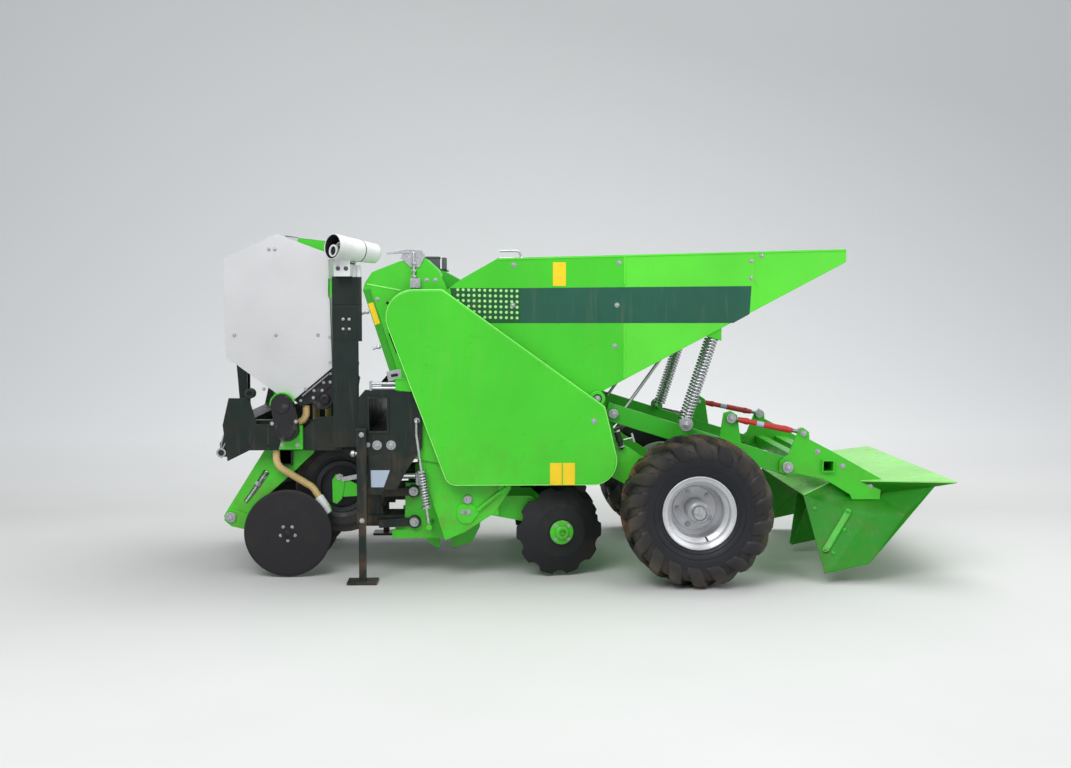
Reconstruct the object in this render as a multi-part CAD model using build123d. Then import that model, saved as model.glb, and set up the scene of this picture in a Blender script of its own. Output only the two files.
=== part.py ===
from build123d import *
import math
import os

os.makedirs("parts", exist_ok=True)

# Two-row potato planter. Millimetres. +X points to the machine's rear,
# +Y to its right-hand side, +Z up, and the ground is Z = 0.

SIDES = (-1.0, 1.0)
SIDE_NAME = {-1.0: "left", 1.0: "right"}

# Sheet, plate and tube walls, running fit of turning pieces, and the length
# by which a cutting solid passes the face that it cuts.
SHEET = 4.0
PLATE = 12.0
TUBE_WALL = 8.0
RUN_FIT = 0.05
PAST = 1.0

# Rows, and the stack of plates beside them counted out from the row's middle.
ROW_Y = 375.0
UNIT_HALF = 229.0
END_THICK = 20.0
GUARD_DEPTH = 50.0
GUARD_WALL = 3.0
GUARD_EDGE = 12.0
unit_in = ROW_Y - UNIT_HALF
unit_out = ROW_Y + UNIT_HALF
frame_in = unit_out + SHEET
frame_out = frame_in + PLATE
end_out = frame_out + END_THICK
guard_out = end_out + GUARD_DEPTH

# Main cross bar, and the square parking legs beside it.
BAR_X = -966.0
BAR_Z = 795.0
BAR_WIDE = 100.0
BAR_HIGH = 170.0
BAR_PAST = 10.0
bar_half = end_out + BAR_PAST
bar_front = BAR_X - BAR_WIDE / 2
bar_low = BAR_Z - BAR_HIGH / 2
LEG_X = -1041.5
LEG_SIZE = 33.0
SLEEVE_WALL = 6.0
SLEEVE_LOW = 286.0
SLEEVE_TOP = 733.0
FOOT_THICK = 12.0
FOOT_LONG = 141.0
FOOT_WIDE = 120.0

# Front frame: long beams, hitch beam, coulter bar, side plates.
BEAM_Y = 488.5
BEAM_WIDE = 47.0
BEAM_Z = 700.0
BEAM_HIGH = 120.0
HITCH_BEAM_X = -1640.0
HITCH_BEAM_WIDE = 100.0
FRONT_HALF = 560.0
COULTER_BAR_X = -1430.0
COULTER_BAR_WIDE = 80.0
COULTER_BAR_HIGH = 100.0
COULTER_BAR_HALF = 514.0
HITCH_X = -1726.0
HITCH_Z = 606.0
HITCH_PIN_R = 14.0
EAR_Y = 430.0
EAR_THICK = 20.0
EAR_RIM = 26.0
MAST_X = -1725.0
MAST_Z = 1180.0
MAST_BORE_R = 12.75
MAST_GAP = 30.0
MAST_THICK = 16.0
MAST_RIM = 27.0
hitch_front = HITCH_BEAM_X - HITCH_BEAM_WIDE / 2
hitch_rear = HITCH_BEAM_X + HITCH_BEAM_WIDE / 2
beam_low = BEAM_Z - BEAM_HIGH / 2
beam_top = BEAM_Z + BEAM_HIGH / 2

# Fertiliser hopper: its six-sided end outline and the hinge of its lid.
HEX_TOP = [(-1690.0, 1528.0), (-1441.0, 1645.0), (-1199.0, 1556.0)]
HEX_LOW = [(-1185.0, 1015.0), (-1385.0, 849.0), (-1683.0, 1067.0)]
FERT_HALF = 594.0
FERT_END = 6.0
LID_PIN_X = -1672.0
LID_PIN_Z = 1512.0
LID_PIN_R = 6.0
LID_BARREL_R = 11.0
LID_SIDE_GAP = 10.0
LID_PIN_LONG = 34.0
HOSE_R = 17.0

# Wheels.
WHEEL_X = 527.0
WHEEL_Z = 355.0
WHEEL_Y = 750.0
TYRE_R = 355.0
TYRE_HALF = 130.0
LUG_COUNT = 18
LUG_ROOT = 292.0
RIM_R = 153.0
RIM_HALF = 106.0
RIM_WALL = 6.0
FLANGE = 19.0
FLANGE_THICK = 7.0
WELL_DROP = 20.0
WHEEL_DISC = -62.0
WHEEL_DISC_THICK = 8.0
HUB_R = 50.0
HUB_IN = -125.0
HUB_OUT = 92.0
AXLE_R = 30.0
AXLE_OUT = 112.0
GAUGE_X = -1165.0
GAUGE_Z = 426.0
GAUGE_R = 230.0
GAUGE_HALF = 56.0
GAUGE_RIM_R = 112.0
PIN_R = 15.0
WHEEL_SIDES = 36

# Leaning planting units: foot of the front edge, lean from upright, depth and length.
LEAN_X = -655.0
LEAN_Z = 191.0
LEAN = math.radians(17.7256)
UNIT_DEPTH = 376.0
UNIT_LENGTH = 1251.4
CROWN_ROOM = 176.4
LOW_U = 190.0
MID_V = 196.0
TOP_R = 100.0
LOW_R = 80.0
SHAFT_R = 20.0
DRUM_HALF = 120.0
BELT_HALF = 110.0
BELT_THICK = 5.0
CUP_REACH = 42.0
CUP_HALF = 32.0
CUP_ROOT = 18.0
CUP_LIP = 8.0
CUPS_A_SIDE = 7
TOP_U = UNIT_LENGTH - CROWN_ROOM

# Potato hopper: floor line, seams between its side panels, rear edge.
FLOOR_X = 107.0
FLOOR_Z = 909.0
FLOOR_SLOPE = 0.5288
FLOOR_LIFT = 25.0
FLOOR_THICK = 5.0
HOPPER_LOW_U = 362.7
HOPPER_REAR = 1252.0
RIM_FRONT = (-400.0, 1533.0)
RIM_REAR_Z = 1577.0
TAIL_Z = 1515.0
SEAM_FRONT = 200.0
SEAM_REAR = 825.0

# Discs in front of and behind the openers.
DISC_X = -1413.0
DISC_Z = 217.0
DISC_R = 210.0
ARM_GAP = 34.0
COVER_X = -101.0
COVER_Z = 222.0
COVER_R = 212.0
NOTCHES = 10
TOE = 12.0

# Hood arms: front pivot, rear hinge, spring bolt, and the turnbuckle eyes.
ARM_A = (153.0, 792.0)
ARM_B = (992.0, 531.0)
ARM_HIGH = 84.0
ARM_IN = 498.0
ARM_OUT = 538.0
ARM_PIN_R = 16.0
SPRING_LOW = (496.0, 743.0)
SPRING_TOP = (628.0, 1153.0)
SPRING_R = 20.0
SPRING_WIRE = 7.0
SPRING_TURNS = 14
SPRING_Y = (458.0, 578.0)
COIL_STEPS = 10
FRONT_EYE = (724.0, 766.0)
REAR_EYE = (1068.0, 696.0)
EYE_R = 22.0
EYE_PIN_R = 10.0
HOOD_SHEET = 6.0
HOOD_PLATE_IN = 543.0
HOOD_PLATE_OUT = 558.0


def lean(u, v):
    """Point at u along and v across the leaning unit."""
    return (
        LEAN_X - math.sin(LEAN) * u + math.cos(LEAN) * v,
        LEAN_Z + math.cos(LEAN) * u + math.sin(LEAN) * v,
    )


def floor_z(x, lift=0.0):
    return FLOOR_Z + (x - FLOOR_X) * FLOOR_SLOPE + lift


def moved(points, x, z):
    return [(x + dx, z + dz) for dx, dz in points]


def plate(points, y0, y1):
    """Flat plate drawn in X and Z, from y0 to y1."""
    low = min(y0, y1)
    face = make_face(Polyline(*[(x, low, z) for x, z in points], close=True))
    return extrude(face, amount=abs(y1 - y0), dir=(0, 1, 0))


def round_face(points, radii, y):
    """Flat face with rounded corners drawn in X and Z."""
    spots = [(x, y, z) for x, z in points]
    return make_face(FilletPolyline(*spots, radius=radii, close=True))


def block(x, y, z):
    """Box from three (low, high) pairs in any order."""
    x0, x1 = min(x), max(x)
    y0, y1 = min(y), max(y)
    z0, z1 = min(z), max(z)
    middle = Pos((x0 + x1) / 2, (y0 + y1) / 2, (z0 + z1) / 2)
    return middle * Box(x1 - x0, y1 - y0, z1 - z0)


def cross_tube(x, z, wide, high, half, wall):
    """Rectangular tube across the machine: its outer block and the open tube."""
    outer = block((x - wide / 2, x + wide / 2), (-half, half), (z - high / 2, z + high / 2))
    bore = block(
        (x - wide / 2 + wall, x + wide / 2 - wall),
        (-half - PAST, half + PAST),
        (z - high / 2 + wall, z + high / 2 - wall),
    )
    return outer, outer - bore


def rod(start, end, radius):
    a = Vector(*start)
    b = Vector(*end)
    base = Plane(origin=a, z_dir=(b - a))
    return base * Cylinder(radius, (b - a).length, align=(Align.CENTER, Align.CENTER, Align.MIN))


def pin(x, z, y0, y1, radius):
    return rod((x, min(y0, y1), z), (x, max(y0, y1), z), radius)


def spun(profile, x, y, z, outward):
    """Turned piece about Y: profile of (radius, outward distance) pairs."""
    spots = [(x + r, y + outward * o, z) for r, o in profile]
    face = make_face(Polyline(*spots, close=True))
    return revolve(face, axis=Axis((x, y, z), (0, 1, 0)), revolution_arc=360)


def flat_faced(spots, rings):
    """Closed solid from corner points and the point numbers of each flat face."""
    sheets = []
    for ring in rings:
        sheets.append(Face(Wire.make_polygon([Vector(*spots[k]) for k in ring], close=True)))
    return Solid(Shell(sheets))


def many_sided(profile, x, y, z, sides):
    """Turned ring about Y made of flat panels: profile of (radius, across) pairs."""
    count = len(profile)
    spots = []
    for i in range(sides):
        turn = 2 * math.pi * i / sides
        for r, across in profile:
            spots.append((x + r * math.sin(turn), y + across, z + r * math.cos(turn)))
    rings = []
    for i in range(sides):
        here = i * count
        there = ((i + 1) % sides) * count
        for k in range(count):
            n = (k + 1) % count
            rings.append((here + k, here + n, there + n, there + k))
    return flat_faced(spots, rings)


def strip(points, thick, y0, y1):
    """Bent sheet: an open line in X and Z, thickened to the line's right."""
    offs = []
    count = len(points)
    for i in range(count):
        normals = []
        for j in (i - 1, i):
            if 0 <= j < count - 1:
                dx = points[j + 1][0] - points[j][0]
                dz = points[j + 1][1] - points[j][1]
                size = math.hypot(dx, dz)
                normals.append((dz / size, -dx / size))
        nx = sum(n[0] for n in normals)
        nz = sum(n[1] for n in normals)
        size = math.hypot(nx, nz)
        share = (nx * normals[0][0] + nz * normals[0][1]) / size
        reach = thick / share / size
        offs.append((points[i][0] + nx * reach, points[i][1] + nz * reach))
    return plate(list(points) + offs[::-1], y0, y1)


def folded(corners, faces, shift):
    """Folded sheet of flat triangles, thickened by one straight shift."""
    count = len(corners)
    far = [tuple(c[k] + shift[k] for k in range(3)) for c in corners]
    rings = []
    edges = set()
    for a, b, c in faces:
        rings.append((a, b, c))
        rings.append((a + count, c + count, b + count))
        edges.update(((a, b), (b, c), (c, a)))
    for p, q in sorted(edges):
        if (q, p) not in edges:
            rings.append((q, p, p + count))
            rings.append((q, p + count, q + count))
    return flat_faced(list(corners) + far, rings)


def coil(start, end, radius, wire, turns):
    """Wound spring of square wire: flat facets round a helix, closed at both ends."""
    base = Plane(origin=Vector(*start), z_dir=Vector(*end) - Vector(*start))
    rise = (Vector(*end) - Vector(*start)).length - wire
    steps = turns * COIL_STEPS
    spots = []
    for i in range(steps + 1):
        turn = 2 * math.pi * i / COIL_STEPS
        for out, up in ((-0.5, 0.0), (0.5, 0.0), (0.5, 1.0), (-0.5, 1.0)):
            r = radius + out * wire
            high = rise * i / steps + up * wire
            spot = base.from_local_coords(Vector(r * math.cos(turn), r * math.sin(turn), high))
            spots.append((spot.X, spot.Y, spot.Z))
    rings = [(0, 3, 2, 1), tuple(4 * steps + k for k in range(4))]
    for i in range(steps):
        a = 4 * i
        b = a + 4
        rings.append((a, b, b + 3, a + 3))
        rings.append((a + 1, a + 2, b + 2, b + 1))
        for k, n in ((0, 1), (2, 3)):
            rings.append((a + k, a + n, b + n))
            rings.append((a + k, b + n, b + k))
    return flat_faced(spots, rings)


def save(name, *pieces):
    solids = []
    for piece in pieces:
        solids.extend(piece.solids())
    export_step(Compound(children=solids), f"parts/{name}.step")


# Cross bar with open ends, the end plates it passes through, and the parking
# legs let down out of square sleeves on those plates.
END_OUTLINE = [
    (-94, -195), (-94, 80), (-61, 118), (80, 118), (160, 108), (206, 95), (206, -155), (126, -275), (86, -355),
    (16, -355), (16, -195),
]
bar_block, bar_tube = cross_tube(BAR_X, BAR_Z, BAR_WIDE, BAR_HIGH, bar_half, TUBE_WALL)
save("toolbar", bar_tube)
sleeve_half = LEG_SIZE / 2 + SLEEVE_WALL
leg_y = end_out + sleeve_half
leg_span = (LEG_X - LEG_SIZE / 2, LEG_X + LEG_SIZE / 2)
end_plates = []
legs = []
for s in SIDES:
    leg_side = (s * (leg_y - LEG_SIZE / 2), s * (leg_y + LEG_SIZE / 2))
    sleeve = block(
        (LEG_X - sleeve_half, LEG_X + sleeve_half),
        (s * end_out, s * (leg_y + sleeve_half)),
        (SLEEVE_LOW, SLEEVE_TOP),
    )
    sleeve = sleeve - block(leg_span, leg_side, (SLEEVE_LOW - PAST, SLEEVE_TOP + PAST))
    end_plate = plate(moved(END_OUTLINE, BAR_X, BAR_Z), s * frame_out, s * end_out)
    end_plates.append(end_plate - bar_block + sleeve)
    shank = block(leg_span, leg_side, (FOOT_THICK, SLEEVE_TOP - LEG_SIZE))
    foot = block(
        (LEG_X - FOOT_LONG / 2, LEG_X + FOOT_LONG / 2),
        (s * (leg_y - FOOT_WIDE / 2), s * (leg_y + FOOT_WIDE / 2)),
        (0, FOOT_THICK),
    )
    legs.append(shank + foot)
save("toolbar_end_plates", *end_plates)
save("parking_legs", *legs)

# Front frame and its side plates.
FRONT_OUTLINE = [
    (-1680, 870), (-1585, 870), (-1549, 746), (-1450, 746), (-1336, 717), (-1259, 779),
    (-1145, 788), (-1145, 620), (-1584, 621), (-1689, 569), (-1710, 742),
]
hitch_tube = cross_tube(HITCH_BEAM_X, BEAM_Z, HITCH_BEAM_WIDE, BEAM_HIGH, FRONT_HALF, TUBE_WALL)[1]
coulter_z = beam_low - COULTER_BAR_HIGH / 2
coulter_block, coulter_tube = cross_tube(
    COULTER_BAR_X, coulter_z, COULTER_BAR_WIDE, COULTER_BAR_HIGH, COULTER_BAR_HALF, TUBE_WALL
)
front_frame = hitch_tube + coulter_tube
front_plates = []
for s in SIDES:
    long_x = (hitch_rear, bar_front)
    beam_y = (s * (BEAM_Y - BEAM_WIDE / 2), s * (BEAM_Y + BEAM_WIDE / 2))
    bore_y = (s * (BEAM_Y - BEAM_WIDE / 2 + TUBE_WALL), s * (BEAM_Y + BEAM_WIDE / 2 - TUBE_WALL))
    beam = block(long_x, beam_y, (beam_low, beam_top))
    front_frame = front_frame + (beam - block(long_x, bore_y, (beam_low + TUBE_WALL, beam_top - TUBE_WALL)))
    front_plates.append(plate(FRONT_OUTLINE, s * FRONT_HALF, s * (FRONT_HALF + PLATE)))
save("front_frame", front_frame)
save("front_side_plates", *front_plates)

# Lower hitch ears with their pins, and the top-link mast.
ears = []
masts = []
ear_low = HITCH_Z - EAR_RIM - 5
for s in SIDES:
    ear = plate(
        [(hitch_front, BEAM_Z + 45), (hitch_front, ear_low), (HITCH_X - EAR_RIM, ear_low),
         (HITCH_X - EAR_RIM, HITCH_Z + EAR_RIM + 8)],
        s * (EAR_Y - EAR_THICK / 2), s * (EAR_Y + EAR_THICK / 2),
    )
    ears.append(ear + pin(HITCH_X, HITCH_Z, s * EAR_Y, s * (FRONT_HALF - EAR_THICK), HITCH_PIN_R))
    cheek = plate(
        [(hitch_front, beam_low), (hitch_front, MAST_Z - 180), (MAST_X + MAST_RIM, MAST_Z - 120),
         (MAST_X + MAST_RIM, MAST_Z + MAST_RIM + 5), (MAST_X - MAST_RIM, MAST_Z + MAST_RIM + 5),
         (MAST_X - MAST_RIM, MAST_Z - 50), (hitch_front - 25, beam_low)],
        s * MAST_GAP, s * (MAST_GAP + MAST_THICK),
    )
    masts.append(cheek - pin(MAST_X, MAST_Z, -FRONT_HALF, FRONT_HALF, MAST_BORE_R))
mast_tie = block((hitch_front - 22, hitch_front - 8), (-MAST_GAP, MAST_GAP), (MAST_Z - 280, MAST_Z - 220))
save("hitch_ears", *ears)
save("mast", masts[0], masts[1], mast_tie)

# Fertiliser hopper: sheet body between end plates, hinged lid, cradles on the beams.
body_rear = (HEX_TOP[2][0], HEX_TOP[2][1] - 28)
body_front = (HEX_TOP[0][0], HEX_TOP[0][1] - 40)
save("fertiliser_hopper_body", strip([body_rear] + HEX_LOW + [body_front], SHEET, -FERT_HALF, FERT_HALF))
ends = []
lid_half = FERT_HALF - LID_SIDE_GAP
lid_ridge = (HEX_TOP[1][0], HEX_TOP[1][1] - 14)
lid_line = [(LID_PIN_X, LID_PIN_Z + LID_BARREL_R), lid_ridge, (HEX_TOP[2][0] + 7, HEX_TOP[2][1] - 16)]
lid = strip(lid_line, SHEET, -lid_half, lid_half) + pin(LID_PIN_X, LID_PIN_Z, -lid_half, lid_half, LID_BARREL_R)
for s in SIDES:
    pin_end = FERT_HALF - LID_PIN_LONG
    stub = pin(LID_PIN_X, LID_PIN_Z, s * pin_end, s * FERT_HALF, LID_PIN_R)
    ends.append(plate(HEX_TOP + HEX_LOW, s * FERT_HALF, s * (FERT_HALF + FERT_END)) + stub)
    lid = lid - pin(LID_PIN_X, LID_PIN_Z, s * (pin_end - LID_SIDE_GAP), s * FERT_HALF, LID_PIN_R + RUN_FIT)
save("fertiliser_hopper_ends", *ends)
save("fertiliser_lid", lid)

CRADLE_LONG = 95.0
keel = HEX_LOW[1]
front_rise = (HEX_LOW[2][1] - keel[1]) / (keel[0] - HEX_LOW[2][0])
fert_out = FERT_HALF + FERT_END
stays = []
for s in SIDES:
    stays.append(plate(
        [(keel[0] - CRADLE_LONG, beam_top), (keel[0] - CRADLE_LONG, keel[1] + CRADLE_LONG * front_rise),
         keel, (keel[0], beam_top)],
        s * (BEAM_Y - PLATE / 2), s * (BEAM_Y + PLATE / 2),
    ))
stays.append(plate([(-1441, 628), (-1328, 628), (-1328, 740), (-1410, 740)], -FRONT_HALF - PLATE, -fert_out))
save("hopper_stays", *stays)

# Moulded chain cover on the left end: two round lobes joined by a web, each with
# a raised boss. Columns: X, Z, radius.
LOBES = [(-1416.0, 843.0, 52.0), (-1394.0, 725.0, 54.0)]
COVER_DEPTH = 55.0
BOSS_RISE = 7.0
cover_out = fert_out + COVER_DEPTH
web = plate([(-1467, 834), (-1365, 852), (-1341, 735), (-1447, 715)], -fert_out, -cover_out)
for x, z, r in LOBES:
    web = web + pin(x, z, -fert_out, -cover_out, r)
    web = web + pin(x, z, -cover_out, -cover_out - BOSS_RISE, r * 0.7)
save("chain_cover", web)

# Metering trough under the hopper's rear slope.
slope_dx = HEX_LOW[0][0] - keel[0]
slope_dz = HEX_LOW[0][1] - keel[1]
slope_long = math.hypot(slope_dx, slope_dz)


def trough_point(along, out):
    return (
        keel[0] + (slope_dx * along + slope_dz * out) / slope_long,
        keel[1] + (slope_dz * along - slope_dx * out) / slope_long,
    )


TROUGH_HALF = 565.0
TROUGH = [(20, 0), (245, 0), (245, 30), (200, 62), (70, 62), (20, 40)]
save("metering_trough", plate([trough_point(a, o) for a, o in TROUGH], -TROUGH_HALF, TROUGH_HALF))

# One hanger, trailing arm and disc for every fertiliser coulter.
# Columns: name, disc plane Y, side on which the arm stands (towards the row).
COULTERS = [
    ("left_outer", -535.0, 1.0),
    ("left_inner", -215.0, -1.0),
    ("right_inner", 215.0, 1.0),
    ("right_outer", 535.0, -1.0),
]
PIVOT_X = -1690.0
PIVOT_Z = 290.0
HANGER = [
    (-1511, 640), (-1290, 640), (-1290, 600), (-1402, 495), (-1537, 375), (-1620, 296),
    (-1655, 262), (-1700, 255), (-1728, 290), (-1712, 320),
]
SLOT = [(-1530, 520), (-1600, 410), (-1632, 365), (-1612, 352), (-1545, 440), (-1505, 500)]
ARM = [
    (-1724, 275), (-1705, 330), (-1665, 325), (-1560, 280), (-1390, 262), (-1372, 217),
    (-1395, 180), (-1440, 180), (-1560, 215), (-1690, 245),
]
DISC_HUB_R = 55.0
DISC_BOSS_R = 30.0
DISC_HALF = 3.0
DISC_EDGE = 0.8
EDGE_WIDE = 12.0
hub_reach = ARM_GAP - 8.0
hangers = []
arms = []
for name, disc_y, inward in COULTERS:
    arm_in = disc_y + inward * ARM_GAP
    arm_out = arm_in + inward * PLATE
    hanger = plate(HANGER, arm_out, arm_out + inward * PLATE)
    hanger = hanger - plate(SLOT, arm_out - inward * PAST, arm_out + inward * (PLATE + PAST))
    pivot = pin(PIVOT_X, PIVOT_Z, arm_in - inward * 8, arm_out + inward * 2 * PLATE, PIN_R)
    hangers.append(hanger - coulter_block - pivot)
    spindle = pin(DISC_X, DISC_Z, disc_y - inward * 14, arm_in, PIN_R)
    arms.append(plate(ARM, arm_in, arm_out) + pivot + spindle)
    bore = PIN_R + RUN_FIT
    disc = spun(
        [(bore, -10), (DISC_BOSS_R, -10), (DISC_BOSS_R, -DISC_HALF), (DISC_R - EDGE_WIDE, -DISC_HALF),
         (DISC_R, -DISC_EDGE), (DISC_R, DISC_EDGE), (DISC_R - EDGE_WIDE, DISC_HALF), (DISC_HUB_R, DISC_HALF),
         (DISC_HUB_R, hub_reach), (bore, hub_reach)],
        DISC_X, disc_y, DISC_Z, inward,
    )
    save("fertiliser_disc_" + name, disc)
save("coulter_hangers", *hangers)
save("coulter_arms", *arms)

# Gauge wheels, one to each row.
GAUGE_BEAD = 42.0
SEAT_GAP = 0.3
gauge_seat = GAUGE_RIM_R + 14
rim_in = GAUGE_RIM_R - 8
rim_seat = GAUGE_RIM_R * math.cos(math.pi / WHEEL_SIDES) - SEAT_GAP
rim_bead = GAUGE_BEAD + SEAT_GAP
rim_edge = rim_bead + 6
GAUGE_TREAD = [
    (GAUGE_RIM_R, -GAUGE_BEAD), (gauge_seat, -GAUGE_BEAD), (150, 2 - GAUGE_HALF), (185, -GAUGE_HALF),
    (GAUGE_R - 15, 8 - GAUGE_HALF), (GAUGE_R, -12), (GAUGE_R, 12), (GAUGE_R - 15, GAUGE_HALF - 8),
    (185, GAUGE_HALF), (150, GAUGE_HALF - 2), (gauge_seat, GAUGE_BEAD), (GAUGE_RIM_R, GAUGE_BEAD),
]
GAUGE_HUB_R = 34.0
GAUGE_HUB_HALF = 40.0
for s in SIDES:
    row = s * ROW_Y
    bore = PIN_R + RUN_FIT
    save("gauge_tyre_" + SIDE_NAME[s], many_sided(GAUGE_TREAD, GAUGE_X, row, GAUGE_Z, WHEEL_SIDES))
    rim = spun(
        [(bore, -GAUGE_HUB_HALF), (GAUGE_HUB_R, -GAUGE_HUB_HALF), (GAUGE_HUB_R, -6), (rim_in, -6),
         (rim_in, -rim_edge), (gauge_seat, -rim_edge), (gauge_seat, -rim_bead), (rim_seat, -rim_bead),
         (rim_seat, rim_bead), (gauge_seat, rim_bead), (gauge_seat, rim_edge), (rim_in, rim_edge),
         (rim_in, 6), (GAUGE_HUB_R, 6), (GAUGE_HUB_R, GAUGE_HUB_HALF), (bore, GAUGE_HUB_HALF)],
        GAUGE_X, row, GAUGE_Z, 1.0,
    )
    save("gauge_rim_" + SIDE_NAME[s], rim)

# Row units below the cross bar: hangers, wheel forks, parallel links on pins, openers.
FORK_IN = 70.0
fork_out = FORK_IN + PLATE
link_out = fork_out + PLATE
opener_out = link_out + 8.0
LINK_FRONT = -1030.0
LINK_REAR = -795.0
LINK_HALF = 20.0
LINK_PIN_R = 12.0
LINK_HEAD_R = 18.0
LINK_HEAD = 6.0
# Columns: height of the link's front pin, height of its rear pin.
LINKS = [(408.0, 418.0), (272.0, 272.0)]
OPENER_BAR = (-728.0, 262.0)
OPENER_BAR_R = 14.0
OPENER_BAR_HALF = 662.0
row_hangers = []
forks = []
links = []
furrow_openers = pin(OPENER_BAR[0], OPENER_BAR[1], -OPENER_BAR_HALF, OPENER_BAR_HALF, OPENER_BAR_R)
for s in SIDES:
    row = s * ROW_Y
    fork = pin(GAUGE_X, GAUGE_Z, row - fork_out, row + fork_out, PIN_R)
    sole = plate([(-760, 180), (-760, 205), (-672, 205), (-672, 180)], row - link_out, row + link_out)
    knife = plate([(-770, 180), (-690, 180), (-690, 118), (-706, 112), (-740, 140)], row - 10, row + 10)
    furrow_openers = furrow_openers + sole + knife
    for t in SIDES:
        hanger = plate(
            [(-1060, 236), (-960, 236), (-960, 300), (-985, 420), (-940, bar_low), (-1050, bar_low),
             (-1060, 500)],
            row + t * FORK_IN, row + t * fork_out,
        )
        fork = fork + plate(
            [(-1205, 426), (-1185, 470), (-1150, 475), (-1060, 425), (-1060, 385), (-1150, 380), (-1190, 390)],
            row + t * FORK_IN, row + t * fork_out,
        )
        cheek = plate(
            [(-917, 178), (-664, 178), (-727, 373), (-752, 450), (-850, 450), (-856, 222), (-917, 222)],
            row + t * link_out, row + t * opener_out,
        )
        for front_z, rear_z in LINKS:
            link = plate(
                [(LINK_FRONT - LINK_HALF, front_z - LINK_HALF), (LINK_FRONT - LINK_HALF, front_z + LINK_HALF),
                 (LINK_REAR + LINK_HALF, rear_z + LINK_HALF), (LINK_REAR + LINK_HALF, rear_z - LINK_HALF)],
                row + t * fork_out, row + t * link_out,
            )
            for x, z in ((LINK_FRONT, front_z), (LINK_REAR, rear_z)):
                link = link - pin(x, z, row + t * FORK_IN, row + t * opener_out, LINK_PIN_R + RUN_FIT)
            links.append(link)
            head = pin(LINK_FRONT, front_z, row + t * link_out, row + t * (link_out + LINK_HEAD), LINK_HEAD_R)
            hanger = hanger + pin(LINK_FRONT, front_z, row + t * FORK_IN, row + t * link_out, LINK_PIN_R) + head
            head = pin(LINK_REAR, rear_z, row + t * fork_out, row + t * (fork_out - LINK_HEAD), LINK_HEAD_R)
            cheek = cheek + pin(LINK_REAR, rear_z, row + t * fork_out, row + t * opener_out, LINK_PIN_R) + head
        row_hangers.append(hanger)
        furrow_openers = furrow_openers + cheek
    forks.append(fork)
save("row_hangers", *row_hangers)
save("gauge_forks", *forks)
save("opener_links", *links)
save("furrow_openers", furrow_openers)

# Planting units: cheeks, front duct sheet, top cover, cup belt, rollers, boot.
# Columns: height past the front edge's top, distance across from the front edge.
CROWN = [
    (0.0, 0.0), (28.7, 18.6), (66.9, 66.5), (76.3, 208.0), (54.0, UNIT_DEPTH - 52.2),
    (-17.9, UNIT_DEPTH - 11.1), (-120.2, UNIT_DEPTH),
]
COVER_SHEET = 3.0
crown_line = [lean(UNIT_LENGTH + rise, across) for rise, across in CROWN]
cheek_outline = [lean(0, 0)] + crown_line + [
    lean(HOPPER_LOW_U, UNIT_DEPTH), lean(140, UNIT_DEPTH), lean(51.3, UNIT_DEPTH * 0.7),
    lean(8.2, UNIT_DEPTH * 0.272),
]
BOOT_ROD = (-545.0, 258.0)
BOOT_ROD_R = 10.0
BOOT_HALF = 105.0
BOOT_WALL = 5.0
BOOT = [(-640, 215), (-626, 133), (-529, 157), (-490, 235), (-505, 290)]
BOOT_MOUTH = [(-636, 240), (-616, 120), (-533, 140), (-497, 235), (-510, 320)]
low_c = lean(LOW_U, MID_V)
top_c = lean(TOP_U, MID_V)
run = TOP_U - LOW_U
cheeks = []
ducts = []
covers = []
rollers = []
boots = []
belts = []


def loop(extra, y0, y1):
    """Closed loop round both rollers, standing proud of them by extra."""
    tilt = math.asin((TOP_R - LOW_R) / run)
    ends_uv = []
    for u, r in ((LOW_U, LOW_R + extra), (TOP_U, TOP_R + extra)):
        ends_uv.append((u - r * math.sin(tilt), r * math.cos(tilt)))
    (u0, v0), (u1, v1) = ends_uv
    flank_line = [lean(u0, MID_V - v0), lean(u1, MID_V - v1), lean(u1, MID_V + v1), lean(u0, MID_V + v0)]
    flank = plate(flank_line, y0, y1)
    low = pin(low_c[0], low_c[1], y0, y1, LOW_R + extra)
    return flank + low + pin(top_c[0], top_c[1], y0, y1, TOP_R + extra)


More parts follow.
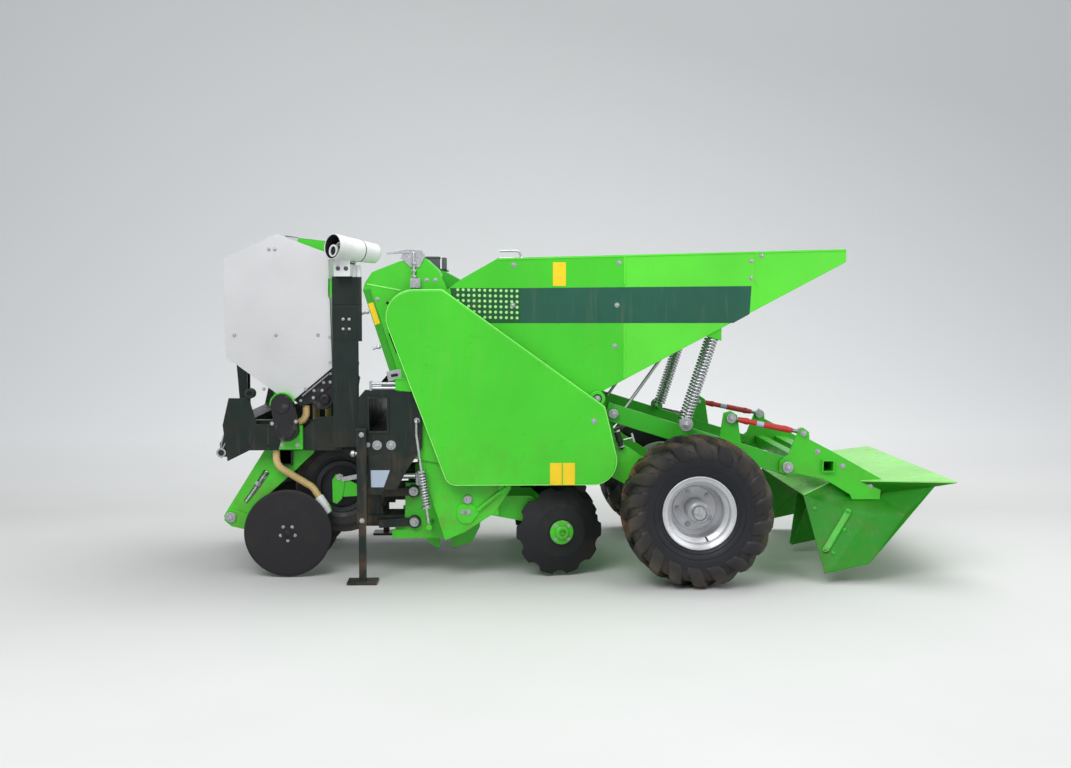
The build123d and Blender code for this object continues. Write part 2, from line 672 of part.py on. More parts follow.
for s in SIDES:
    row = s * ROW_Y
    cheeks.append(plate(cheek_outline, s * unit_out, s * frame_in))
    cheeks.append(plate(cheek_outline, s * (unit_in - SHEET), s * unit_in))
    ducts.append(plate(
        [lean(2, 0), lean(UNIT_LENGTH - 2, 0), lean(UNIT_LENGTH - 2, SHEET), lean(2, SHEET)],
        s * unit_in, s * unit_out,
    ))
    covers.append(strip(crown_line, COVER_SHEET, s * unit_in, s * unit_out))
    for (x, z), r in ((low_c, LOW_R), (top_c, TOP_R)):
        shaft = pin(x, z, s * unit_in, s * unit_out, SHAFT_R)
        rollers.append(shaft + pin(x, z, row - DRUM_HALF, row + DRUM_HALF, r))
    belt = loop(BELT_THICK, row - BELT_HALF, row + BELT_HALF)
    belt = belt - loop(0.0, row - BELT_HALF - PAST, row + BELT_HALF + PAST)
    cups = []
    for column, shift in ((-BELT_HALF / 2, 0.2), (BELT_HALF / 2, 0.5)):
        for side in SIDES:
            for i in range(CUPS_A_SIDE):
                u = LOW_U + run * (i + shift) / (CUPS_A_SIDE + 0.2)
                foot = MID_V + side * (LOW_R + (TOP_R - LOW_R) * (u - LOW_U) / run + BELT_THICK - 2)
                tip = foot + side * CUP_REACH
                lip = u + side * CUP_ROOT
                cup = [lean(u - CUP_ROOT, foot), lean(lip - CUP_LIP, tip), lean(lip + CUP_LIP, tip),
                       lean(u + CUP_ROOT, foot)]
                cups.append(plate(cup, row + column - CUP_HALF, row + column + CUP_HALF))
    belts.append(belt + cups)
    boot = plate(BOOT, row - BOOT_HALF, row + BOOT_HALF)
    boot = boot - plate(BOOT_MOUTH, row - BOOT_HALF + BOOT_WALL, row + BOOT_HALF - BOOT_WALL)
    boots.append(boot + pin(BOOT_ROD[0], BOOT_ROD[1], s * unit_in, s * unit_out, BOOT_ROD_R))
save("unit_cheeks", *cheeks)
save("drop_ducts", *ducts)
save("belt_top_covers", *covers)
save("belt_rollers", *rollers)
save("cup_belts", *belts)
save("drop_boots", *boots)

# Main side frames, and the drive guards pressed from sheet with a rolled edge.
FRAME = [
    (-1000, 620), (-1000, 890), (-850, 900), (-885, 1250), (-790, 1370), (-670, 1370), (60, 850), (112, 810),
    (150, 680), (120, 560), (60, 478), (-620, 478), (-660, 560),
]
GUARD = [(-983, 1387), (-660, 1387), (104, 836), (192, 463), (-639, 463)]
GUARD_R = [131, 30, 20, 115, 60]
BOSSES = [(-780, 1260), (-500, 1100), (50, 768), (60, 560), (-580, 540)]
BOSS_R = 14.0
frames = []
guards = []
for s in SIDES:
    frames.append(plate(FRAME, s * frame_in, s * frame_out) - bar_block)
    outline = round_face(GUARD, GUARD_R, s * end_out)
    inset = offset(outline, amount=-GUARD_WALL)
    shell = extrude(outline, amount=GUARD_DEPTH, dir=(0, s, 0))
    hollow = extrude(inset, amount=GUARD_DEPTH - GUARD_WALL, dir=(0, s, 0))
    shell = fillet(shell.faces().sort_by(Axis.Y)[0 if s < 0 else -1].edges(), GUARD_EDGE)
    hollow = fillet(hollow.faces().sort_by(Axis.Y)[0 if s < 0 else -1].edges(), GUARD_EDGE - GUARD_WALL)
    guard = shell - hollow
    for x, z in BOSSES:
        guard = guard + pin(x, z, s * frame_out, s * (guard_out - GUARD_WALL / 2), BOSS_R)
    guards.append(guard)
save("side_frames", *frames)
save("drive_guards", *guards)

# Potato hopper: side panels split at their seams, sloping floor, front wall, rear lip.
hopper_low = lean(HOPPER_LOW_U, UNIT_DEPTH)
crown_end = crown_line[-1]
nose_line = [(crown_end[0] + 21, crown_end[1] + 17), (crown_end[0] + 76, crown_end[1] + 56), RIM_FRONT]
side_outline = [hopper_low, crown_end] + nose_line + [
    (HOPPER_REAR, RIM_REAR_Z), (HOPPER_REAR, TAIL_Z), (FLOOR_X, FLOOR_Z),
]
# Columns: node, front edge, rear edge.
PANELS = [
    ("hopper_sides", LEAN_X, SEAM_FRONT),
    ("hopper_mid_panels", SEAM_FRONT, SEAM_REAR),
    ("hopper_rear_panels", SEAM_REAR, HOPPER_REAR),
]
for name, front, rear in PANELS:
    panels = []
    for s in SIDES:
        sheet = plate(side_outline, s * unit_out, s * frame_in)
        panels.append(sheet & block((front, rear), (s * unit_in, s * guard_out), (0, 2 * RIM_REAR_Z)))
    save(name, *panels)
spring_dx = SPRING_TOP[0] - SPRING_LOW[0]
spring_dz = SPRING_TOP[1] - SPRING_LOW[1]
spring_long = math.hypot(spring_dx, spring_dz)
spring_way = (spring_dx / spring_long, spring_dz / spring_long)
SEAT_HALF = 36.0
seat_front = (SPRING_TOP[0] - spring_way[1] * SEAT_HALF, SPRING_TOP[1] + spring_way[0] * SEAT_HALF)
seat_rear = (SPRING_TOP[0] + spring_way[1] * SEAT_HALF, SPRING_TOP[1] - spring_way[0] * SEAT_HALF)
tail = HOPPER_REAR - SHEET
floor_start = hopper_low[0] + 60
floor_line = [(floor_start, floor_z(floor_start, FLOOR_LIFT)), (tail, floor_z(tail, FLOOR_LIFT))]
hopper_floor = strip(floor_line, FLOOR_THICK, -unit_out, unit_out)
for s in SIDES:
    hopper_floor = hopper_floor + plate(
        [seat_front, seat_rear, (seat_rear[0], floor_z(seat_rear[0], FLOOR_LIFT - FLOOR_THICK)),
         (seat_front[0], floor_z(seat_front[0], FLOOR_LIFT - FLOOR_THICK))],
        s * (SPRING_Y[0] - PLATE), s * (SPRING_Y[1] + 2 * PLATE),
    )
save("hopper_floor", hopper_floor)
lip = block((tail, HOPPER_REAR), (-unit_out, unit_out), (floor_z(tail, FLOOR_LIFT), RIM_REAR_Z))
rim = strip(nose_line, SHEET, -unit_out, unit_out)
wall_line = [lean(HOPPER_LOW_U + 17, UNIT_DEPTH), lean(UNIT_LENGTH + CROWN[-1][0] - 131, UNIT_DEPTH)]
wall = strip(wall_line, SHEET, -(unit_in - SHEET), unit_in - SHEET)
save("hopper_end_walls", rim, wall, lip)

# Rear wheel legs, cross beam and axles.
LEG_IN = 548.0
LEG = [(-60, 600), (-30, 740), (60, 740), (600, 380), (570, 310), (500, 300)]
REAR_BEAM_X = 20.0
REAR_BEAM_Z = 660.0
REAR_BEAM_SIZE = 100.0
rear_beam_top = REAR_BEAM_Z + REAR_BEAM_SIZE / 2
rear_frame = cross_tube(REAR_BEAM_X, REAR_BEAM_Z, REAR_BEAM_SIZE, REAR_BEAM_SIZE, LEG_IN, TUBE_WALL)[1]
for s in SIDES:
    axle = pin(WHEEL_X, WHEEL_Z, s * frame_in, s * (WHEEL_Y + AXLE_OUT), AXLE_R)
    rear_frame = rear_frame + plate(LEG, s * LEG_IN, s * frame_in) + axle
save("rear_axle_frame", rear_frame)

# Rear wheels: dished rims on long hubs, and tyres with bent lugs in two rows.
bead = RIM_HALF - FLANGE_THICK
well_r = RIM_R - WELL_DROP
inner_r = RIM_R - RIM_WALL
disc_back = WHEEL_DISC - WHEEL_DISC_THICK
RIM = [
    (AXLE_R + RUN_FIT, HUB_OUT), (HUB_R, HUB_OUT), (HUB_R, WHEEL_DISC), (well_r - RIM_WALL, WHEEL_DISC),
    (well_r - RIM_WALL, 45), (inner_r, 57), (inner_r, RIM_HALF - 9), (RIM_R + FLANGE - RIM_WALL, RIM_HALF),
    (RIM_R + FLANGE, RIM_HALF), (RIM_R + FLANGE, bead), (RIM_R, bead), (RIM_R, 60), (well_r, 48),
    (well_r, disc_back - 2), (RIM_R, disc_back - 14), (RIM_R, -bead), (RIM_R + FLANGE, -bead),
    (RIM_R + FLANGE, -RIM_HALF), (RIM_R + FLANGE - RIM_WALL, -RIM_HALF), (inner_r, 9 - RIM_HALF),
    (inner_r, disc_back - 17), (well_r - RIM_WALL, disc_back - 5), (well_r - RIM_WALL, disc_back),
    (HUB_R, disc_back), (HUB_R, HUB_IN), (AXLE_R + RUN_FIT, HUB_IN),
]
TREAD = [
    (RIM_R + 1, -bead), (RIM_R + FLANGE + 1, -bead), (210, 8 - TYRE_HALF), (255, -TYRE_HALF),
    (300, 6 - TYRE_HALF), (322, -100), (327, -40), (327, 40), (322, 100), (300, TYRE_HALF - 6),
    (255, TYRE_HALF), (210, TYRE_HALF - 8), (RIM_R + FLANGE + 1, bead), (RIM_R + 1, bead),
]
# Columns: distance out from the middle, middle of the bar round the tyre, half width.
LUG = [(-6.0, -45.0, 20.0), (62.0, 14.0, 17.0), (124.0, 40.0, 15.0)]
lug_end = max(abs(mid) + half for across, mid, half in LUG)
lug_top = math.sqrt(TYRE_R**2 - lug_end**2)
for s in SIDES:
    tyre = many_sided(TREAD, 0, 0, 0, WHEEL_SIDES)
    lugs = []
    for t in SIDES:
        edge = [(mid - half, t * across) for across, mid, half in LUG]
        edge = edge + [(mid + half, t * across) for across, mid, half in LUG[::-1]]
        face = make_face(Polyline(*[(x, y, LUG_ROOT) for x, y in edge], close=True))
        lug = extrude(face, amount=lug_top - LUG_ROOT, dir=(0, 0, 1))
        for i in range(LUG_COUNT):
            lugs.append(Rot(0, 360.0 / LUG_COUNT * (i + t / 4), 0) * lug)
    save("rear_tyre_" + SIDE_NAME[s], Pos(WHEEL_X, s * WHEEL_Y, WHEEL_Z) * (tyre + lugs))
    save("rear_rim_" + SIDE_NAME[s], spun(RIM, WHEEL_X, s * WHEEL_Y, WHEEL_Z, s))

# Covering discs, scalloped and set at an angle, on arms from the unit cheeks.
# Columns: name, hub Y, toe sign, distance of the cheek face it stands on.
COVERERS = [
    ("left_outer", -560.0, -1.0, unit_out),
    ("left_inner", -190.0, 1.0, unit_in),
    ("right_inner", 190.0, -1.0, unit_in),
    ("right_outer", 560.0, 1.0, unit_out),
]
COVER_ARM = [(-455, 300), (-430, 390), (-240, 390), (-60, 250), (-72, 205), (-118, 196), (-260, 262)]
COVER_HUB_R = 60.0
COVER_ARM_GAP = 44.0
NOTCH_R = 44.0
NOTCH_OUT = 24.0
cover_bore = PIN_R + RUN_FIT
DISH = [
    (cover_bore, 20), (COVER_HUB_R, 20), (COVER_HUB_R, 10), (120, 4), (COVER_R, -24), (COVER_R, -29), (118, -1),
    (COVER_HUB_R - 4, 4), (COVER_HUB_R - 4, -30), (cover_bore, -30),
]
cover_arms = []
for name, hub_y, out, face_y in COVERERS:
    disc = spun(DISH, 0, 0, 0, out)
    for i in range(NOTCHES):
        turn = 360.0 * (i + 0.5) / NOTCHES
        notch = Pos(COVER_R + NOTCH_OUT, 0, 0) * (Rot(90, 0, 0) * Cylinder(NOTCH_R, 100))
        disc = disc - Rot(0, turn, 0) * notch
    place = Pos(COVER_X, hub_y, COVER_Z) * Rot(0, 0, -out * TOE)
    save("covering_disc_" + name, place * disc)
    spindle = place * (Pos(0, -out * 15, 0) * (Rot(90, 0, 0) * Cylinder(PIN_R, 90)))
    arm_face = hub_y - out * COVER_ARM_GAP
    arm = plate(COVER_ARM, arm_face, arm_face - out * PLATE)
    seat = block((-440, -400), (arm_face, math.copysign(face_y, hub_y)), (310, 385))
    cover_arms.append(arm + spindle + seat)
save("covering_disc_arms", *cover_arms)

# Hood arms trailing from pivots on the rear beam, lugs for the turnbuckles, bracket plates.
arm_len = math.hypot(ARM_B[0] - ARM_A[0], ARM_B[1] - ARM_A[1])
arm_u = ((ARM_B[0] - ARM_A[0]) / arm_len, (ARM_B[1] - ARM_A[1]) / arm_len)


def on_arm(along, up):
    return (ARM_A[0] + arm_u[0] * along - arm_u[1] * up, ARM_A[1] + arm_u[1] * along + arm_u[0] * up)


HOOD_OUTLINE = [
    (1040, 690), (1068, 722), (1098, 700), (1100, 665), (1200, 613), (1313, 550), (1455, 470), (1447, 372),
    (1311, 372), (1301, 396), (1180, 470), (1040, 500), (1000, 488), (955, 510), (958, 560), (1000, 590),
]
arm_half = ARM_HIGH / 2
LUG_IN = 507.0
eye_in = LUG_IN + PLATE
eye_out = eye_in + 24.0
eye_mid = (eye_in + eye_out) / 2
THREAD_R = 8.0
BARREL_R = 13.0
# Shares of the length between the eyes where the barrel starts and ends.
BARREL_SPAN = (0.2, 0.78)
hood_arms = []
pivots = []
turnbuckles = []
hood_plates = []
for s in SIDES:
    beam = plate(
        [on_arm(-35, -arm_half), on_arm(-35, arm_half), on_arm(arm_len + 30, arm_half),
         on_arm(arm_len + 30, -arm_half)],
        s * ARM_IN, s * ARM_OUT,
    )
    lug = plate(
        [on_arm(530, arm_half), (FRONT_EYE[0] - 34, FRONT_EYE[1] + 24), (FRONT_EYE[0], FRONT_EYE[1] + 34),
         (FRONT_EYE[0] + 32, FRONT_EYE[1] + 14), on_arm(640, arm_half)],
        s * LUG_IN, s * eye_in,
    )
    pivot = pin(ARM_A[0], ARM_A[1], s * (ARM_IN - PLATE), s * (ARM_OUT + 18), ARM_PIN_R)
    hinge = pin(ARM_B[0], ARM_B[1], s * (ARM_IN - 8), s * (HOOD_PLATE_OUT + 22), ARM_PIN_R)
    front_pin = pin(FRONT_EYE[0], FRONT_EYE[1], s * (LUG_IN - 7), s * (eye_out + 7), EYE_PIN_R)
    rear_pin = pin(REAR_EYE[0], REAR_EYE[1], s * eye_in, s * (HOOD_PLATE_OUT + 14), EYE_PIN_R)
    bolt = pin(SPRING_LOW[0], SPRING_LOW[1], s * (SPRING_Y[0] - PLATE), s * (SPRING_Y[1] + 2 * PLATE), PIN_R)
    hood_arms.append((beam + lug + hinge + bolt) - pivot - front_pin)
    bracket = plate(
        [(40, rear_beam_top), (-30, rear_beam_top), (110, 830), (190, 820), (195, 760),
         (REAR_BEAM_X + REAR_BEAM_SIZE / 2, 640), (REAR_BEAM_X + REAR_BEAM_SIZE / 2, rear_beam_top)],
        s * (ARM_IN - PLATE), s * ARM_IN,
    )
    pivots.append(bracket + pivot)
    eye_a = Vector(FRONT_EYE[0], s * eye_mid, FRONT_EYE[1])
    eye_b = Vector(REAR_EYE[0], s * eye_mid, REAR_EYE[1])
    barrel_a = eye_a + (eye_b - eye_a) * BARREL_SPAN[0]
    barrel_b = eye_a + (eye_b - eye_a) * BARREL_SPAN[1]
    screw = rod(tuple(eye_a), tuple(eye_b), THREAD_R) + rod(tuple(barrel_a), tuple(barrel_b), BARREL_R)
    for (x, z), held in ((FRONT_EYE, front_pin), (REAR_EYE, rear_pin)):
        screw = screw + pin(x, z, s * eye_in, s * eye_out, EYE_R) + held
    turnbuckles.append(screw)
    hood_plates.append(plate(HOOD_OUTLINE, s * HOOD_PLATE_IN, s * HOOD_PLATE_OUT) - hinge - rear_pin)
save("hood_arms", *hood_arms)
save("hood_pivots", *pivots)
save("turnbuckles", *turnbuckles)

# Ridging hood: cross tubes through the bracket plates, roof sheet and folded wings.
HOOD_TUBE = 60.0
HOOD_TUBE_HALF = 576.0
HOOD_TUBE_WALL = 6.0
hood_block, hood_frame = cross_tube(1190.0, 536.0, HOOD_TUBE, HOOD_TUBE, HOOD_TUBE_HALF, HOOD_TUBE_WALL)
for sheet in hood_plates:
    hood_frame = hood_frame + (sheet - hood_block)
hood_frame = hood_frame + block((1050, 1100), (-HOOD_PLATE_IN, HOOD_PLATE_IN), (520, 570))
save("hood_frame", hood_frame)

roof_low = (1083.0, 520.0, 393.0)
roof_fold = (1236.0, 500.0, 460.0)
roof_tail = (1752.0, 760.0, 484.0)
ROOF_ENDS = (roof_low, roof_fold, roof_tail)
RIDGE_HALF = 16.0
RIDGE_TOP = 210.0
roof_spots = [(x, -y, z) for x, y, z in ROOF_ENDS] + list(ROOF_ENDS)
roof = folded(roof_spots, [(0, 1, 4), (0, 4, 3), (1, 2, 5), (1, 5, 4)], (0, 0, -HOOD_SHEET))
# Wing corners below the roof edge, on the right-hand side.
WING = [
    (1437, 520, 393), (1667, 700, 453), (1537, 680, 320), (1363, 650, 301), (1175, 745, 72), (1136, 750, 50),
    (1349, 750, 96),
]
WING_FACES = [
    (0, 3, 1), (1, 3, 4), (1, 4, 2), (0, 6, 3), (3, 6, 5), (3, 5, 4), (0, 7, 6), (0, 8, 7), (8, 9, 7),
    (7, 9, 6), (6, 9, 5), (5, 9, 4),
]
clear = Part() + [plate(HOOD_OUTLINE, s * HOOD_PLATE_IN, s * HOOD_PLATE_OUT) for s in SIDES]
save("hood_roof", roof - clear)
wings = []
for s in SIDES:
    corners = [(x, y, z - HOOD_SHEET) for x, y, z in ROOF_ENDS] + WING
    skirt = [(x, s * y, z) for x, y, z in corners]
    ridge = [(1236, s * RIDGE_TOP, 454), (1600, s * RIDGE_TOP, 470.9), (1136, s * RIDGE_HALF, 50),
             (1349, s * RIDGE_HALF, 96)]
    for spots, faces, way in ((skirt, WING_FACES, -s), (ridge, [(0, 1, 2), (1, 3, 2)], s)):
        turned = faces if s < 0 else [(a, c, b) for a, b, c in faces]
        wings.append(folded(spots, turned, (0, way * HOOD_SHEET, 0)) - clear)
save("hood_wings", *wings)

# Springs between the hood arms and the hopper floor, and the trip springs on the openers.
CAP_R = 24.0
CAP_THICK = 8.0
SMALL_R = 15.0
SMALL_WIRE = 5.0
SMALL_TURNS = 9
SMALL_ROD_R = 8.0
# Shares of the trip rod's length where its coil starts and ends.
SMALL_SPAN = (0.42, 0.8)
springs = []
for s in SIDES:
    for y in SPRING_Y:
        way = Vector(spring_way[0], 0, spring_way[1])
        low = Vector(SPRING_LOW[0], s * y, SPRING_LOW[1]) + way * PIN_R
        top = Vector(SPRING_TOP[0], s * y, SPRING_TOP[1])
        spring = coil(tuple(low + way * 2), tuple(top - way * 2), SPRING_R, SPRING_WIRE, SPRING_TURNS)
        for cap_a, cap_b in ((low, low + way * CAP_THICK), (top - way * CAP_THICK, top)):
            spring = spring + rod(tuple(cap_a), tuple(cap_b), CAP_R)
        springs.append(spring)
    side = s * (end_out + 8)
    top = Vector(-786, side, 700)
    low = Vector(OPENER_BAR[0] - 2, side, OPENER_BAR[1] + OPENER_BAR_R + 1.1)
    first = top + (low - top) * SMALL_SPAN[0]
    last = top + (low - top) * SMALL_SPAN[1]
    way = (last - first).normalized()
    trip = coil(tuple(first), tuple(last), SMALL_R, SMALL_WIRE, SMALL_TURNS)
    trip = trip + rod(tuple(top), tuple(low), SMALL_ROD_R)
    for cap_a in (first - way * 3, last - way * 3):
        trip = trip + rod(tuple(cap_a), tuple(cap_a + way * 6), SMALL_R + SMALL_WIRE / 2)
    springs.append(trip)
save("springs", *springs)

# Tower beside the fertiliser hopper, and the white sensor hood on its head.
TOWER_FRONT = -1180.0
TOWER_REAR = -1062.0
TOWER_HEAD_REAR = -1041.0
TOWER_TOP = 1446.0
TOWER_HEAD_LOW = 1142.0
tower_in = FRONT_HALF + PLATE
tower_out = frame_out
column = block((TOWER_FRONT, TOWER_REAR), (-tower_out, -tower_in), (beam_low, TOWER_TOP))
column = column - block(
    (TOWER_FRONT + TUBE_WALL, TOWER_REAR + PAST), (-tower_out + TUBE_WALL, -tower_in - TUBE_WALL),
    (beam_low - PAST, TOWER_TOP + PAST),
)
head = block((TOWER_FRONT, TOWER_HEAD_REAR), (-tower_out, -tower_out + TUBE_WALL), (TOWER_HEAD_LOW, TOWER_TOP))
save("tower", column + head)

CROWN_CLEAR = 30.0
sensor_floor = max(TOWER_TOP, crown_line[1][1] + CROWN_CLEAR)
SENSOR_MOUTH = (-1161.0, -740.0, sensor_floor + 136.0)
SENSOR_TAIL = (-985.0, -560.0, sensor_floor + 109.0)
MOUTH_R = 60.0
TAIL_R = 46.0
SENSOR_WALL = 4.0
LENS_R = 27.0
HOOD_DEEP = 0.45
mouth = Vector(*SENSOR_MOUTH)
sensor_way = Vector(*SENSOR_TAIL) - mouth
sensor_long = sensor_way.length
sensor_base = Plane(origin=mouth, z_dir=sensor_way)
deep = sensor_long * HOOD_DEEP
deep_r = MOUTH_R + (TAIL_R - MOUTH_R) * HOOD_DEEP
align_low = (Align.CENTER, Align.CENTER, Align.MIN)
body = sensor_base * Cone(MOUTH_R, TAIL_R, sensor_long, align=align_low)
BRACKET_X = (-1161.0, -1086.0)
BRACKET_Y = -694.0
BRACKET_THICK = 6.0
upright = block(BRACKET_X, (BRACKET_Y, BRACKET_Y + BRACKET_THICK), (TOWER_TOP, mouth.Z - MOUTH_R / 2))
foot = block(BRACKET_X, (BRACKET_Y, -tower_in), (TOWER_TOP, TOWER_TOP + BRACKET_THICK))
cavity = sensor_base * Cone(MOUTH_R - SENSOR_WALL, deep_r - SENSOR_WALL, deep, align=align_low)
lens = sensor_base * (Pos(0, 0, deep * 0.35) * Cylinder(LENS_R, deep, align=align_low))
glass = sensor_base * (Pos(0, 0, deep * 0.35) * Cylinder(LENS_R - 6, 12, align=align_low))
save("sensor_tube", (body + upright + foot) - cavity + (lens - glass))

# Fertiliser hoses from the metering trough to the coulters.
HOSE_BEND = 70.0
HOSE_SHORT_BEND = 50.0
hoses = []
for name, disc_y, inward in COULTERS:
    if abs(disc_y) > ROW_Y:
        y = disc_y - inward * 2
        low_y = disc_y + inward * 46
        spots = [(-1318, y, 833.4), (-1318, y, 770), (-1463, y, 690), (-1463, y, 544), (-1297, low_y, 432),
                 (-1236, low_y, 335)]
        bends = [HOSE_SHORT_BEND, HOSE_SHORT_BEND, HOSE_BEND, HOSE_BEND]
    else:
        y = disc_y + inward * 20
        low_y = disc_y + inward * 30
        spots = [(-1312, y, 835), (-1312, y, 505), (-1245, low_y, 440), (-1228, low_y, 340)]
        bends = [HOSE_BEND, HOSE_BEND]
    path = FilletPolyline(*spots, radius=bends)
    section = Plane(origin=path @ 0, z_dir=path % 0) * Circle(HOSE_R)
    hoses.append(sweep(section, path=path))
save("fertiliser_hoses", *hoses)
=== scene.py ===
"""Looks of a two-row potato planter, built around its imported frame.

Metres, +X to the machine's rear, +Y to its right-hand side, +Z up, ground at Z = 0.
Tables give places in millimetres, the unit of the machine's own drawings.
"""

import math

import bmesh
import bpy
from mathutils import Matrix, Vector


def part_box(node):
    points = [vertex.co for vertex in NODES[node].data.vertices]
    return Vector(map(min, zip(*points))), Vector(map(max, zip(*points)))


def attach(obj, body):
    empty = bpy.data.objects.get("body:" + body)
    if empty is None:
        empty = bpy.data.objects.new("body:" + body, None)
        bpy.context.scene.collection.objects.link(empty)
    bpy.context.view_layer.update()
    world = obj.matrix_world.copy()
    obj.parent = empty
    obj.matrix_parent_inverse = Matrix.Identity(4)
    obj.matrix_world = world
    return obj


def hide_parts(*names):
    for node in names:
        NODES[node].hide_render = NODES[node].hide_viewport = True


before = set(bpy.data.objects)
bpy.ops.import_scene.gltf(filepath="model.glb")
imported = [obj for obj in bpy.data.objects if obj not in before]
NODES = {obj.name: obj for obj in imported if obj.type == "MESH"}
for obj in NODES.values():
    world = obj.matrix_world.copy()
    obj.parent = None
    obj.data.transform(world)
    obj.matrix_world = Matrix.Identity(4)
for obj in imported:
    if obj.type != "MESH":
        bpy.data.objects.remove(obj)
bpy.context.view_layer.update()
CHASSIS = "chassis"
SIDES = (-1, 1)
SIDE_WORDS = ((-1, "left"), (1, "right"))
MM = 0.001

# Faces that the fittings stand on, as distances from the middle plane in millimetres.
HOPPER_FACE = 608
GUARD_FACE = 690
END_PLATE_FACE = 640
FERTILISER_FACE = 600
FRONT_PLATE_FACE = 572
CHEEK_FACE = 608
FRAME_FACE = 620
HOOD_PLATE_FACE = 558


def point(x, y, z):
    """A point given in millimetres."""
    return Vector((x, y, z)) * MM


def middle(node):
    low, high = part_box(node)
    return (low + high) / 2


def radius_of(wheel):
    low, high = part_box(wheel)
    return (high.z - low.z) / 2


# Mesh building


def axes_of(direction):
    """Two unit vectors across a direction, and the direction itself."""
    along = Vector(direction).normalized()
    guide = Vector((0, 0, 1)) if abs(along.z) < 0.9 else Vector((1, 0, 0))
    across = along.cross(guide).normalized()
    return across, along.cross(across), along


def skin(bm, rings, closed=False):
    """Faces between rings of points; a ring of one point is a tip."""
    made = [[bm.verts.new(spot) for spot in ring] for ring in rings]
    pairs = list(zip(made, made[1:]))
    if closed:
        pairs.append((made[-1], made[0]))
    for a, b in pairs:
        count = max(len(a), len(b))
        for i in range(count):
            j = (i + 1) % count
            corners = (a[i % len(a)], a[j % len(a)], b[j % len(b)], b[i % len(b)])
            bm.faces.new(list(dict.fromkeys(corners)))


def circle(centre, across, over, radius, sides, turn=0.0):
    spots = []
    for i in range(sides):
        angle = turn + math.tau * i / sides
        spots.append(centre + (across * math.cos(angle) + over * math.sin(angle)) * radius)
    return spots


def turned(bm, profile, centre, direction, sides=24, turn=0.0, closed=False):
    """Revolved form from (radius, height) pairs in millimetres along a direction."""
    across, over, along = axes_of(direction)
    rings = []
    for radius, height in profile:
        spot = centre + along * (height * MM)
        rings.append([spot] if radius == 0 else circle(spot, across, over, radius * MM, sides, turn))
    skin(bm, rings, closed)


def disc(bm, spot, direction, radius, low, high, sides):
    """Plain round plate between two heights along a direction; millimetres."""
    turned(bm, [(0, low), (radius, low), (radius, high), (0, high)], spot, direction, sides)


def sleeve(bm, spot, direction, inner, outer, low, high, sides):
    """Plain ring or pipe between two heights along a direction; millimetres."""
    section = [(inner, low), (outer, low), (outer, high), (inner, high)]
    turned(bm, section, spot, direction, sides, closed=True)


def capped(bm, rings):
    """Skin over rings, with a tip in the middle of either end."""
    tips = [[sum(ring, Vector()) / len(ring)] for ring in (rings[0], rings[-1])]
    skin(bm, [tips[0]] + rings + [tips[1]])


def tube(bm, path, radius, sides=12):
    """Round bar or wire along a list of points, closed at both ends; radius in millimetres."""
    across = axes_of(path[1] - path[0])[0]
    rings = [[path[0]]]
    for i, spot in enumerate(path):
        along = (path[min(i + 1, len(path) - 1)] - path[max(i - 1, 0)]).normalized()
        across = (across - along * across.dot(along)).normalized()
        rings.append(circle(spot, across, along.cross(across), radius * MM, sides))
    rings.append([path[-1]])
    skin(bm, rings)


def helix(bm, start, end, radius, wire, turns, sides=8):
    """Wound wire between two points; radius is to the middle of the wire."""
    across, over, along = axes_of(end - start)
    length = (end - start).length
    per_turn = 20
    count = turns * per_turn
    path = []
    for i in range(count + 1):
        angle = math.tau * i / per_turn
        spot = start + along * (length * i / count)
        path.append(spot + (across * math.cos(angle) + over * math.sin(angle)) * (radius * MM))
    tube(bm, path, wire, sides)


def slab(bm, outline, y0, y1):
    """Flat plate from an outline of (x, z) pairs, between two distances; millimetres."""
    near = [bm.verts.new(point(x, y0, z)) for x, z in outline]
    far = [bm.verts.new(point(x, y1, z)) for x, z in outline]
    bm.faces.new(near)
    bm.faces.new(far[::-1])
    for i in range(len(near)):
        j = (i + 1) % len(near)
        bm.faces.new((near[i], far[i], far[j], near[j]))


def box_outline(x0, x1, z0, z1):
    return [(x0, z0), (x1, z0), (x1, z1), (x0, z1)]


def bar_outline(a, b, width):
    """Outline of a flat bar between two (x, z) places."""
    dx, dz = b[0] - a[0], b[1] - a[1]
    share = width / 2 / math.hypot(dx, dz)
    nx, nz = -dz * share, dx * share
    return [(a[0] + nx, a[1] + nz), (a[0] - nx, a[1] - nz), (b[0] - nx, b[1] - nz), (b[0] + nx, b[1] + nz)]


def polygon(x, z, radius, sides, turn=0.0):
    """Outline of a regular polygon."""
    outline = []
    for i in range(sides):
        angle = turn + math.tau * i / sides
        outline.append((x + radius * math.cos(angle), z + radius * math.sin(angle)))
    return outline


def rounded(corners, inset):
    """Closed outline with rounded corners, moved inwards; corners run clockwise as (x, z, radius)."""
    outline = []
    steps = 8
    for i, (x, z, radius) in enumerate(corners):
        spot = Vector((x, z))
        back = (Vector(corners[i - 1][:2]) - spot).normalized()
        on = (Vector(corners[(i + 1) % len(corners)][:2]) - spot).normalized()
        half = back.angle(on) / 2
        centre = spot + (back + on).normalized() * (radius / math.sin(half))
        start = spot + back * (radius / math.tan(half)) - centre
        end = spot + on * (radius / math.tan(half)) - centre
        sweep = start.angle_signed(end)
        for k in range(steps + 1):
            turn = -sweep * k / steps
            arm = Vector((start.x * math.cos(turn) - start.y * math.sin(turn),
                          start.x * math.sin(turn) + start.y * math.cos(turn)))
            outline.append(tuple(centre + arm * ((radius - inset) / radius)))
    return outline


def block(bm, xs, ys, zs):
    slab(bm, box_outline(*xs, *zs), *ys)


def plate(bm, outline, side, face, thick):
    """Flat plate that stands on a face of one side of the machine."""
    slab(bm, outline, side * face, side * (face + thick))


